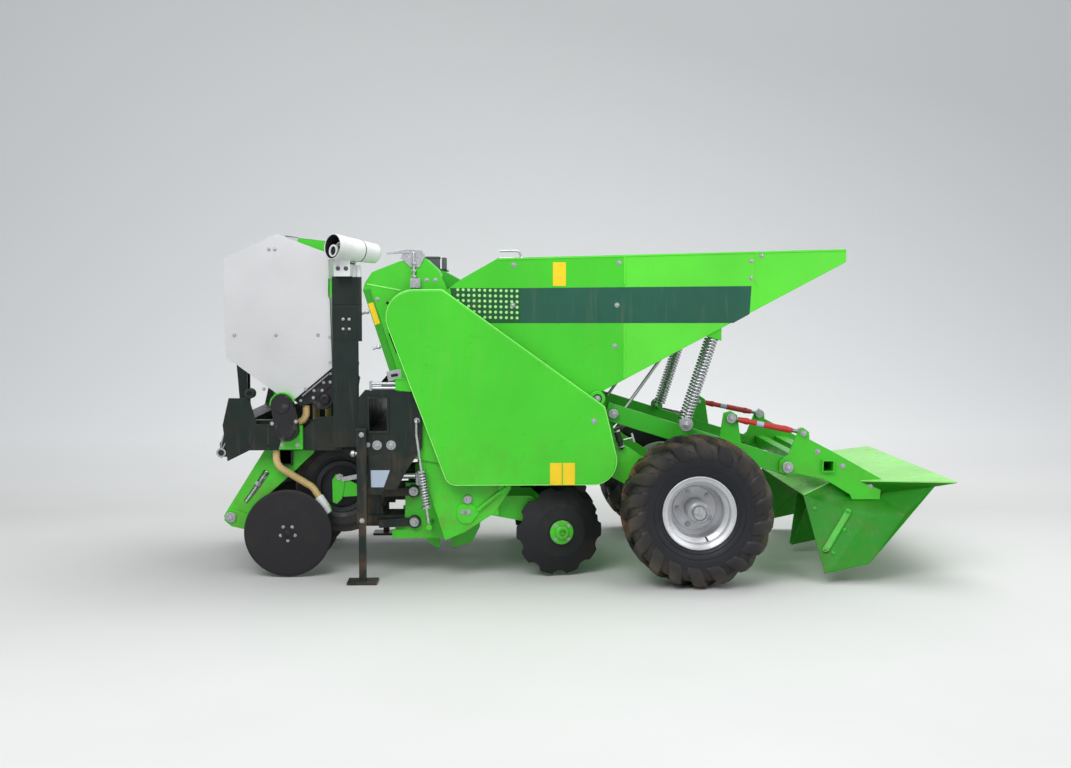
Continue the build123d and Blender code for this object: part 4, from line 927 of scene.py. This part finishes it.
def guard_edge_highlight(bm, s):
    """Painted highlight: a bright line on the guard's rolled edge, and one on the crease of the cheek above
    it.
    """
    path = [point(x, s * (GUARD_FACE - EDGE_INSET), z) for x, z in rounded(GUARD_EDGE, EDGE_INSET)]
    tube(bm, path + [path[0]], 2.6, 8)
    strap(bm, (-1018, 1411), (-858, 1381), 7, s, CHEEK_FACE, 3)


def unit_shade_films(bm, s):
    """Dark films as painted shade in the slit and hole of the cheek, the slot of the bracket, the front
    plate's holes and the recess of the bearing tab.
    """
    strap(bm, (-914, 1180), (-877, 1085), 9, s, CHEEK_FACE, FILM)
    strap(bm, (-906, 978), (-874, 984), 14, s, CHEEK_FACE + 8, FILM)
    for x, z in ((-1588, 642), (-1496, 642), (-1618, 628)):
        disc(bm, point(x, s * FRONT_PLATE_FACE, z), (0, s, 0), 8, 0, FILM, 20)
    disc(bm, point(-921, s * CHEEK_FACE, 1322), (0, s, 0), 7, 0, FILM, 20)
    disc(bm, point(BEARING[0], s * FRAME_FACE, BEARING[1]), (0, s, 0), 21.5, 4, 5.6, 28)


TENSION_LEVER = [
    (-857, 1532), (-846, 1556), (-815, 1574), (-760, 1570), (-741, 1545), (-768, 1490), (-812, 1490),
]
TENSION_SCREW_X = -796
PUSH_ROD_PLANE = 630


def tensioner(bm, s):
    """Screw, clamp and lever that tighten the cup belt, and the slotted bracket below."""
    face, mid = CHEEK_FACE, s * (CHEEK_FACE + 12)
    block(bm, (-812, -765), (s * face, s * (face + 24)), (1392, 1437))
    for x in (-805, -789, -773):
        block(bm, (x - 3, x + 3), (s * (face + 22), s * (face + 29)), (1395, 1434))
    thread(bm, point(TENSION_SCREW_X, mid, 1430), point(TENSION_SCREW_X, mid, 1562), 7)
    for z in (1446, 1474, 1508):
        nut(bm, point(TENSION_SCREW_X, mid, z), (0, 0, 1), 13, 10)
    plate(bm, TENSION_LEVER, s, face, 6)
    plate(bm, [(-921, 1549), (-921, 1557), (-824, 1575), (-812, 1556)], s, face - 2, 13)
    strap(bm, (-924, 974), (-856, 988), 48, s, face, 8)
    for z, radius in ((921, 9), (943, 7)):
        tube(bm, [point(x, s * PUSH_ROD_PLANE, z) for x in (-1000, -884)], radius)
    block(bm, (-1006, -994), (s * (PUSH_ROD_PLANE - 12), s * (PUSH_ROD_PLANE + 12)), (910, 955))
    forward = Vector((-LEAN_COSINE, 0, -LEAN_SINE))
    for u in (973, 1147):
        x, z = lean(u, 0)
        start = point(x, s * 590, z)
        thread(bm, start, start + forward * (44 * MM), 6)
        nut(bm, start + forward * (14 * MM), forward, 12, 9)


FORK_FACE = 457
LEG_FACE = 685
TURNBUCKLE = [(724, 766), (1068, 696)]  # front and rear pin
TURNBUCKLE_PLANE = 531
OPENER_LINKS = [((-968, 404), (-810, 411)), ((-980, 252), (-807, 262))]  # columns: front end, rear eye
LINK_FACE = 477
LINK_WIDTH = 40
SIDE_BOLTS = [  # columns: face, head radius, places
    (CHEEK_FACE, 7, [(-968, 1340), (-736, 1430), (-694, 1430)]),
    (HOPPER_FACE, 7, [(800, 1520), (800, 1440), (850, 1545)]),
    (FRAME_FACE + 5, 11, [BEARING]),
    (END_PLATE_FACE, 8, [(-1016, 654)]),
    (END_PLATE_FACE, 9, [(-784, 768)]),
    (LEG_FACE, 8, [(-1041, 300), (-1041, 706)]),
    (CHEEK_FACE + 8, 9, [(-567, 327), (-543, 327)]),
    (FORK_FACE + 6, 10, [(-1171, 478)]),
    (FERTILISER_FACE, 5, [(-1195, 1384), (-1195, 1161), (-1195, 1042)]),
    (HOOD_PLATE_FACE, 9, [(1140, 606), (1262, 536), (1400, 440)]),
    (556, 15, [(153, 792)]),
    (550, 9, TURNBUCKLE[:1]),
    (572, 10, TURNBUCKLE[1:]),
]


def side_bolts(bm, s):
    for face, head, places in SIDE_BOLTS:
        bolts(bm, s, face, head, places)
    washer_bolt(bm, point(496, s * 602, 743), (0, s, 0), 34, 15)
    washer_bolt(bm, point(992, s * 580, 531), (0, s, 0), 28, 14)
    for _, rear in OPENER_LINKS:
        washer_bolt(bm, point(rear[0], s * (LINK_FACE + 24), rear[1]), (0, s, 0), 24, 11)


def end_fittings(bm, s):
    """Knob of the leg sleeve, trip stud, opener adjusters, gauge-wheel stay, clamp of the covering arm."""
    turned(bm, [(0, 0), (9, 0), (9, 8), (16, 12), (16, 26), (10, 32), (0, 32)], point(-1064, s * 662, 615),
           (-1, 0, 0), 20)
    tube(bm, [point(TRIP_TOP[0], s * TRIP_PLANE, z) for z in (695, 756)], 7)
    turned(bm, [(0, -11), (8, -8), (11, 0), (8, 8), (0, 11)], point(TRIP_TOP[0], s * TRIP_PLANE, 762),
           (0, 0, 1), 16)
    block(bm, (-1000, -976), (s * FORK_FACE, s * 482), (466, 502))
    block(bm, (-800, -768), (s * 464, s * 490), (440, 502))
    for z in (474, 492):
        thread(bm, point(-985, s * 470, z), point(-775, s * 470, z), 6)
    strap(bm, (-1160, 466), (-1058, 484), 22, s, FORK_FACE, 7)
    boss(bm, [(0, 0), (22, 0), (22, 16), (17, 20), (9, 20), (9, 12), (0, 12)],
         s, (-545, 388), CHEEK_FACE, 24)


FORK_TAB = [(-1207, 462), (-1190, 490), (-1155, 488), (-1147, 440), (-1160, 372), (-1185, 346), (-1205, 354)]
COVER_BRACKET = [
    (-600, 332), (-592, 292), (-575, 272), (-530, 272), (-510, 300), (-484, 332), (-538, 374), (-590, 362),
]


def low_brackets(bm, s):
    """Tab of the gauge-wheel fork, and the covering arm's bracket with its stay."""
    plate(bm, FORK_TAB, s, FORK_FACE, 6)
    plate(bm, COVER_BRACKET, s, CHEEK_FACE, 8)
    tube(bm, [point(-500, s * 618, 336), point(-363, s * 618, 446)], 10)
    strap(bm, (-392, 430), (-352, 462), 40, s, CHEEK_FACE, 14)


TRIP_PLATE = [(-822, 602), (-822, 650), (-802, 690), (-770, 702), (-764, 690), (-774, 625)]
PATCH_PLATE = [(-1014, 415), (-1014, 602), (-905, 602), (-905, 530), (-945, 430), (-950, 415)]


def trip_bracket(bm, s):
    """Trip bracket, plate behind the pale patch, opener links' ends, leg sleeve's cap, front round cap."""
    plate(bm, TRIP_PLATE, s, END_PLATE_FACE, 3)
    plate(bm, PATCH_PLATE, s, END_PLATE_FACE - 4, 7)
    for front, rear in OPENER_LINKS:
        strap(bm, front, rear, LINK_WIDTH, s, LINK_FACE, 20)
        boss(bm, [(0, 0), (29, 0), (31, 2), (31, 22), (29, 24), (0, 24)], s, rear, LINK_FACE, 32)
    block(bm, (-1067, -1016), (s * 638, s * 688), (722, 735))
    boss(bm, [(0, -30), (24, -30), (24, 20), (20, 24), (12, 24), (12, 10), (0, 10)],
         s, (-1577, 893), FRONT_PLATE_FACE)


def turnbuckle_line(s):
    """Front end of a turnbuckle, and the way to its rear end."""
    start, end = (point(x, s * TURNBUCKLE_PLANE, z) for x, z in TURNBUCKLE)
    return start, end - start


def pale_patches(bm, s):
    """Blank patch on the end plate, and a band round the turnbuckle's barrel."""
    plate(bm, [(-1001, 452), (-1003, 533), (-912, 533), (-942, 452)], s, END_PLATE_FACE + 3, 0.7)
    start, way = turnbuckle_line(s)
    span = way.length / MM
    sleeve(bm, start, way, 13.0, 13.5, 0.36 * span, 0.5 * span, 28)


def edge_patch(bm, s):
    plate(bm, [lean(1077, 3), lean(1182, 3), lean(1182, 29), lean(1077, 29)], s, CHEEK_FACE + 2.8, FILM)


# Seams and top fold in the paler, lit copy of the green: painted highlight.
both_sides("hopper_trim", hopper_trim, lit_pale_green, 0.8)
both_sides("hopper_handle", hopper_handle, plated)
both_sides("unit_trim", unit_trim, green, 1.0)
# Flange in the darker, shaded copy of the green: painted shade.
both_sides("unit_flange", unit_flange, shaded_fold_green, 1.0)
# Bright lines along the guard's edge and the crease: painted highlight.
both_sides("guard_edge_highlight", guard_edge_highlight, highlight_green, 1.0)
# Dark rubber films stand for the shade in holes, slits and recesses: painted shade.
both_sides("unit_shade_films", unit_shade_films, belt_rubber)
both_sides("belt_tensioner", tensioner, plated, 0.8)
both_sides("side_bolts", side_bolts, plated)
both_sides("end_fittings", end_fittings, plated, 0.6)
both_sides("low_brackets", low_brackets, green, 1.0)
both_sides("trip_bracket", trip_bracket, frame_paint, 1.0)
both_sides("pale_patches", pale_patches, pale_film)
both_sides("edge_patch", edge_patch, yellow_film)


# Hitch pins, metering trough, coulters and hoses


TROUGH_FOOT = (-1385, 849)
TROUGH_WAY = (0.7695, 0.6387)
TROUGH_FACE = 565
TROUGH_BOLTS = [  # columns: along, out
    (40, 22), (95, 50), (150, 50), (205, 44), (232, 14), (120, 26), (180, 26),
]
LINCH_PIN = [
    (-1727, 580), (-1726, 640), (-1713, 690), (-1702, 704), (-1691, 697), (-1695, 672), (-1718, 628),
]


def trough_spot(along, out):
    """Place on the trough's end, along the hopper's rear slope and out from it."""
    dx, dz = TROUGH_WAY
    return (TROUGH_FOOT[0] + dx * along + dz * out, TROUGH_FOOT[1] + dz * along - dx * out)


def hitch_pins(bm, s):
    """Collar and linch pin of the lower hitch pin, and the bolts and bar on the trough's end."""
    sleeve(bm, point(-1726, s * 540, 606), (0, s, 0), 14, 23, -12, -2, 24)
    tube(bm, [point(x, s * 533, z) for x, z in LINCH_PIN], 4)
    bolts(bm, s, TROUGH_FACE, 5, [trough_spot(*place) for place in TROUGH_BOLTS])
    strap(bm, trough_spot(60, 10), trough_spot(225, 10), 7, s, TROUGH_FACE, 4)


METERING_HOUSING = [(-1290, 847), (-1194, 927), (-1172, 902), (-1182, 852), (-1215, 817), (-1268, 814)]


def metering_drive(bm, s):
    """Housing and cap of the metering drive behind the hopper's slope."""
    plate(bm, METERING_HOUSING, s, 518, 44)
    boss(bm, [(0, 0), (26, 0), (26, 8), (20, 12), (8, 12), (8, 8), (0, 8)], s, (-1226, 864), 562)


COULTER_PLANES = [(-535, 1), (-215, -1), (215, 1), (535, -1)]  # columns: disc plane, way to its arm
HOSE_CLIP = [(-1392, 262), (-1384, 226), (-1232, 292), (-1206, 316), (-1218, 352), (-1252, 346)]
OUTER_HOSE_END = ((-1297, 432), (-1236, 335))
INNER_HOSE_END = ((-1245, 440), (-1228, 340))


def coulter_fittings():
    pins, boots, clips, caps = bmesh.new(), bmesh.new(), bmesh.new(), bmesh.new()
    for plane, way in COULTER_PLANES:
        arm_in, arm_out = plane + way * 34, plane + way * 46
        washer_bolt(pins, point(-1690, arm_in - way * 8, 290), (0, -way, 0), 26, 14)
        mid = plane + way * 52
        thread(pins, point(-1623, mid, 360), point(-1518, mid, 510), 9)
        nut(pins, point(-1560, mid, 450), (0.57, 0, 0.82), 17, 18)
        outer = abs(plane) > 375
        before, end = OUTER_HOSE_END if outer else INNER_HOSE_END
        y = plane + way * (46 if outer else 30)
        flow = point(end[0] - before[0], 0, end[1] - before[1])
        turned(boots, [(0, -62), (19, -62), (22, -56), (22, -8), (19, 0), (14, 30), (0, 30)],
               point(end[0], y, end[1]), flow, 24)
        slab(clips, HOSE_CLIP, arm_out, arm_out + way * 8)
        bolt(pins, point(-1366, arm_out + way * 8, 246), (0, way, 0), 8)
        turned(caps, [(0, 13.5), (16, 13.5), (16, 15.5), (13, 17), (0, 17)], point(-1413, plane, 217),
               (0, -way, 0), 24)
    piece("coulter_pins", pins, plated)
    piece("hose_boots", boots, white_plastic)
    piece("hose_clips", clips, green, bevel=1.0)
    piece("spindle_caps", caps, coulter_steel)


both_sides("hitch_pins", hitch_pins, plated, 0.4)
both_sides("metering_drive", metering_drive, black_plastic, 1.5)
coulter_fittings()


# Covering-disc hubs


COVERER_PLACES = [  # columns: place, distance from the middle plane, way out
    ("left_outer", -560, -1), ("left_inner", -190, 1), ("right_inner", 190, -1), ("right_outer", 560, 1),
]
COVER_TOE = math.radians(12)
COVER_HUB_PROFILE = [(16, 20.2), (58, 20.2), (58, 24), (50, 28), (38, 28), (34, 38), (28, 42), (16, 42)]


def cover_hubs():
    for word, y, out in COVERER_PLACES:
        hub = point(-101, y, 222)
        way = Vector((math.sin(COVER_TOE), out * math.cos(COVER_TOE), 0))
        across, over, along = axes_of(way)
        bm = bmesh.new()
        turned(bm, COVER_HUB_PROFILE, hub, way, 36, closed=True)
        piece("cover_hub_" + word, bm, green, "covering_disc_" + word)
        bm = bmesh.new()
        for spot in circle(hub + along * (28 * MM), across, over, 44 * MM, 4, math.tau / 8):
            bolt(bm, spot, way, 6)
        piece("cover_bolts_" + word, bm, plated, "covering_disc_" + word)


cover_hubs()


# Ridging hood: turnbuckles, struts, wing braces and dampers


DAMPER_PLANE = 624


def turnbuckle_ends(bm, s):
    """Threaded ends and eyes of the turnbuckle, the hopper's strut, the damper's tap and nuts."""
    start, way = turnbuckle_line(s)
    thread(bm, start + way * 0.06, start + way * 0.21, 10)
    thread(bm, start + way * 0.77, start + way * 0.94, 10)
    for (x, z), inner in zip(TURNBUCKLE, (500, 519)):
        turned(bm, [(0, -0.5), (10.6, -0.5), (10.6, 1.5), (0, 2)], point(x, s * inner, z), (0, -s, 0), 20)
    for spot in (start, start + way):
        sleeve(bm, spot, (0, 1, 0), 10.3, 22.6, -12.3, 12.3, 28)
    tube(bm, [point(205, s * 492, 800), point(410, s * 492, 1086)], 8)
    tube(bm, [point(196, s * DAMPER_PLANE, 672), point(240, s * DAMPER_PLANE, 683)], 5)
    tube(bm, [point(234, s * DAMPER_PLANE, 704), point(246, s * DAMPER_PLANE, 662)], 6)
    for x, z in ((162, 714), (184, 640)):
        nut(bm, point(x, s * DAMPER_PLANE, z), (0.29, 0, -0.96), 18, 7)


def barrel_ends(bm, s):
    """End nuts, tapered sleeves and rear band of the turnbuckle's barrel."""
    start, way = turnbuckle_line(s)
    for share in (0.22, 0.76):
        nut(bm, start + way * share, way, 18, 16)
    span = way.length / MM
    for low, high, low_radius, high_radius in ((0.10, 0.22, 13, 15.5), (0.76, 0.86, 15.5, 13)):
        taper = [(11, low * span), (low_radius, low * span), (high_radius, high * span), (11, high * span)]
        turned(bm, taper, start, way, 24, closed=True)
    sleeve(bm, start + way * 0.63, way, 13, 15, -60, 60, 12)


WING_PLANE = ((1083, 520, 387), (1175, 745, 72), (1363, 650, 301))
BRACE_SECTION = [(-17, -6), (-17, 2), (-12, 7), (12, 7), (17, 2), (17, -6)]
BRACE_ENDS = [(1277, 322), (1152, 152)]


def wing_normal():
    a, b, c = (Vector(corner) for corner in WING_PLANE)
    return (b - a).cross(c - a)


def on_wing(x, z):
    """Distance of the wing's front facet from the middle plane at x, z."""
    corner, normal = Vector(WING_PLANE[0]), wing_normal()
    return corner.y - (normal.x * (x - corner.x) + normal.z * (z - corner.z)) / normal.y


def wing_brace(bm, s):
    """Flat brace on the wing's front facet, and the bolts beside it."""
    ends = [point(x, s * (on_wing(x, z) + 7), z) for x, z in BRACE_ENDS]
    out = wing_normal()
    out = Vector((out.x, s * out.y, out.z)).normalized() * (1 if out.y > 0 else -1)
    wide = (ends[1] - ends[0]).normalized().cross(out).normalized()
    capped(bm, [[spot + wide * (w * MM) + out * (h * MM) for w, h in BRACE_SECTION] for spot in ends])
    for spot in ends:
        bolt(bm, spot + out * (7 * MM), out, 9)
    for x, z in ((1128, 330), (1186, 138), (1250, 240)):
        bolt(bm, point(x, s * (on_wing(x, z) + 1), z), (0.35, s * 0.9, 0.3), 7)


def damper(bm, s):
    turned(bm, [(0, -4), (9, -4), (9, 10), (15, 14), (15, 62), (12, 66), (12, 92), (6, 100), (0, 100)],
           point(160, s * DAMPER_PLANE, 722), point(28, 0, -94), 24)


both_sides("turnbuckle_ends", turnbuckle_ends, plated)
both_sides("barrel_ends", barrel_ends, red)
# Brace in the darker, shaded copy of the green: painted shade.
both_sides("wing_brace", wing_brace, shaded_arm_green)
both_sides("damper", damper, black_plastic)


# Sensor, tower panels, chain-cover band, lid, crown panel and control boxes


SENSOR_MOUTH = Vector((-1161, -740, 1582))
SENSOR_TAIL = Vector((-985, -560, 1555))
SENSOR_LINER = [(55.4, 2), (49.3, 112), (27.2, 113), (27.2, 110), (47.0, 109), (53.0, 2)]
SENSOR_RING = [(20.5, 2), (28.5, 2), (29.5, 6), (28.5, 14), (26.0, 14), (20.5, 8)]


def sensor():
    """Inside of the sensor tube, its eye, clamp blocks, band and rear cap."""
    mouth = SENSOR_MOUTH * MM
    way = (SENSOR_TAIL - SENSOR_MOUTH) * MM
    eye = mouth + point(0, 0, -19)
    bm = bmesh.new()
    turned(bm, SENSOR_LINER, mouth, way, 40, closed=True)
    sleeve(bm, eye, way, 21.0, 26.0, 10, 100, 32)
    piece("sensor_liner", bm, black_plastic)
    bm = bmesh.new()
    turned(bm, [(0, 8), (12, 9), (21.5, 12), (21.5, 18), (0, 18)], eye, way, 32)
    piece("sensor_glass", bm, dark_glass)
    bm = bmesh.new()
    turned(bm, SENSOR_RING, eye, way, 36, closed=True)
    for low, high in ((-1084, -1066), (-1062, -1044)):
        block(bm, (low, high), (-622, -600), (1444, 1500))
    piece("sensor_ring", bm, white_plastic, bevel=0.6)
    bm = bmesh.new()
    turned(bm, [(51.0, 158), (52.0, 158), (51.8, 163), (50.8, 163)], mouth, way, 48, closed=True)
    turned(bm, [(0, 253), (44, 253), (42, 258), (20, 260), (20, 266), (0, 266)], mouth, way, 32)
    bolts(bm, -1, 694, 7, [(-1142, 1482), (-1105, 1482)])
    piece("sensor_bands", bm, grey_plastic)


CHAIN_WHEEL = (-1416, 843)
BAND_STEPS = 12


def tower_trim():
    """Panels and flange of the tower, and the band on the chain cover."""
    bm = bmesh.new()
    block(bm, (-1177, -1044), (-620, -623), (1316, 1443))
    block(bm, (-1177, -1065), (-620, -622), (1150, 1308))
    piece("tower_panels", bm, frame_paint, bevel=1.0)
    bm = bmesh.new()
    block(bm, (-1197, -1179), (-618, -612), (1350, 1437))
    block(bm, (-1197, -1191), (-618, -604), (1350, 1437))
    band = []
    for radius, steps in ((60, range(BAND_STEPS + 1)), (53, range(BAND_STEPS, -1, -1))):
        for i in steps:
            angle = math.radians(15 + 14 * i)
            x, z = CHAIN_WHEEL
            band.append((x + radius * math.cos(angle), z + radius * math.sin(angle)))
    slab(bm, band, -600, -642)
    piece("tower_flange", bm, green, bevel=0.8)


CROWN_PANEL = [(-668, 1478), (-645, 1468), (-572, 1427), (-600, 1394), (-664, 1394)]
CROWN_HALF = 470


def crown_panel():
    """Sheet that closes the gap between the belts' top covers and the hopper."""
    bm = bmesh.new()
    for s in SIDES:
        plate(bm, CROWN_PANEL, s, CROWN_HALF, 6)
    slab(bm, bar_outline((-645, 1466), (-572, 1425), 4), -CROWN_HALF, CROWN_HALF)
    # Panel in the darker, shaded copy of the green: painted shade.
    piece("crown_panel", bm, shaded_fold_green, bevel=1.0)


LID_SIDE = [(-1405, 1618), (-1400, 1637), (-1190, 1612), (-1188, 1546), (-1195, 1542)]
LID_CORNER = [(-1408, 1619), (-1402, 1640), (-1340, 1631), (-1345, 1596)]
LID_HALF = 580


def lid_box():
    """Raised rear half of the lid: side flanges, top sheet and rear fold, with a bare edge along the top."""
    bm = bmesh.new()
    for s in SIDES:
        plate(bm, LID_SIDE, s, LID_HALF, 4)
    slab(bm, bar_outline((-1400, 1635), (-1190, 1610), 4), -LID_HALF, LID_HALF)
    slab(bm, bar_outline((-1190, 1610), (-1189, 1546), 4), -LID_HALF, LID_HALF)
    piece("lid_box", bm, green, "fertiliser_lid", bevel=1.0)
    bm = bmesh.new()
    for s in SIDES:
        strap(bm, (-1400, 1637), (-1188, 1612), 5, s, 572, 14)
        plate(bm, LID_CORNER, s, 583, 3)
    piece("lid_edges", bm, galvanised, "fertiliser_lid", bevel=0.6)


def control_boxes():
    bm = bmesh.new()
    block(bm, (-770, -702), (-60, 60), (1490, 1552))
    block(bm, (-774, -698), (-64, 64), (1548, 1557))
    block(bm, (-688, -666), (-55, 55), (1490, 1552))
    piece("control_boxes", bm, grey_plastic, bevel=3.0)
    bm = bmesh.new()
    block(bm, (-776, -660), (-142, 142), (1482, 1490))
    for x, y in ((-750, 110), (-750, -110), (-705, 110), (-705, -110)):
        bolt(bm, point(x, y, 1490), (0, 0, 1), 7)
    piece("unit_tie", bm, frame_paint)


sensor()
tower_trim()
crown_panel()
lid_box()
control_boxes()


# Stage, light, camera


FLOOR_NEAR = -40.0
FLOOR_FAR = 9.0
FLOOR_HALF_WIDTH = 60.0
WALL_TOP = 12.0
FLOOR_BEND = 5.0


def stage():
    """Studio floor that bends up into a wall behind the machine."""
    made = Finish("studio_floor")
    pale = made.blend(made.patches(0.6, 4), (0.6, 0.6, 0.59, 1), (0.64, 0.64, 0.63, 1))
    depth = made.add("ShaderNodeSeparateXYZ", {0: made.where}).outputs["Y"]
    made.set(Base_Color=made.blend(made.ramp(depth, 1.5, 5.0), pale, (0.9, 0.9, 0.9, 1)), Roughness=0.75)
    bend_start = FLOOR_FAR - FLOOR_BEND
    line = [(FLOOR_NEAR, 0.0), (bend_start, 0.0)]
    for i in range(1, 17):
        angle = math.pi / 2 * i / 16
        line.append((bend_start + FLOOR_BEND * math.sin(angle), FLOOR_BEND - FLOOR_BEND * math.cos(angle)))
    line.append((FLOOR_FAR, WALL_TOP))
    bm = bmesh.new()
    rows = [[bm.verts.new((x, y, z)) for y, z in line] for x in (-FLOOR_HALF_WIDTH, FLOOR_HALF_WIDTH)]
    for i in range(len(line) - 1):
        bm.faces.new((rows[0][i], rows[1][i], rows[1][i + 1], rows[0][i + 1]))
    stand("studio_floor", bm, made.material)


LAMPS = [  # columns: name, place, aim, size, watts
    ("key", (-2.2, -5.6, 5.6), (-0.2, 0.0, 0.9), 4.0, 330),
    ("top", (1.2, 1.2, 6.2), (0.2, 0.0, 0.8), 5.0, 300),
    ("fill", (4.6, -5.0, 3.4), (0.4, 0.0, 0.6), 4.0, 110),
]


def light():
    """Three soft lamps, and a sky that looks paler than it shines."""
    for name, place, aim, size, watts in LAMPS:
        lamp = bpy.data.lights.new(name, "AREA")
        lamp.size = size
        lamp.energy = watts
        holder = bpy.data.objects.new(name, lamp)
        holder.location = place
        holder.rotation_euler = (Vector(aim) - Vector(place)).to_track_quat("-Z", "Y").to_euler()
        bpy.context.scene.collection.objects.link(holder)
    world = bpy.data.worlds.new("studio")
    bpy.context.scene.world = world
    sky = Graph(world)
    path = sky.add("ShaderNodeLightPath").outputs
    seen = sky.combine("MAXIMUM", path["Is Camera Ray"], path["Is Glossy Ray"])
    seen = sky.combine("MAXIMUM", seen, path["Is Transmission Ray"])
    glow = sky.add("ShaderNodeBackground", {"Color": (0.9, 0.95, 1.0, 1), "Strength": 0.4}).outputs[0]
    shown = sky.add("ShaderNodeBackground", {"Color": (0.9, 0.91, 0.92, 1), "Strength": 1.0}).outputs[0]
    mix = sky.add("ShaderNodeMixShader", {0: seen, 1: glow, 2: shown}).outputs[0]
    sky.add("ShaderNodeOutputWorld", {"Surface": mix})


CAMERA_PLACE = (-0.391, -6.952, 1.350)
CAMERA_PITCH_DOWN = 3.7147
CAMERA_TURN_RIGHT = 1.5176
CAMERA_LENS = 45.04
CAMERA_SENSOR = 36.0


def camera():
    data = bpy.data.cameras.new("camera")
    data.sensor_fit = "HORIZONTAL"
    data.sensor_width = CAMERA_SENSOR
    data.lens = CAMERA_LENS
    holder = bpy.data.objects.new("camera", data)
    holder.location = CAMERA_PLACE
    holder.rotation_euler = (math.radians(90 - CAMERA_PITCH_DOWN), 0, math.radians(-CAMERA_TURN_RIGHT))
    bpy.context.scene.collection.objects.link(holder)
    bpy.context.scene.camera = holder


stage()
light()
camera()
bpy.context.scene.view_settings.view_transform = "Standard"
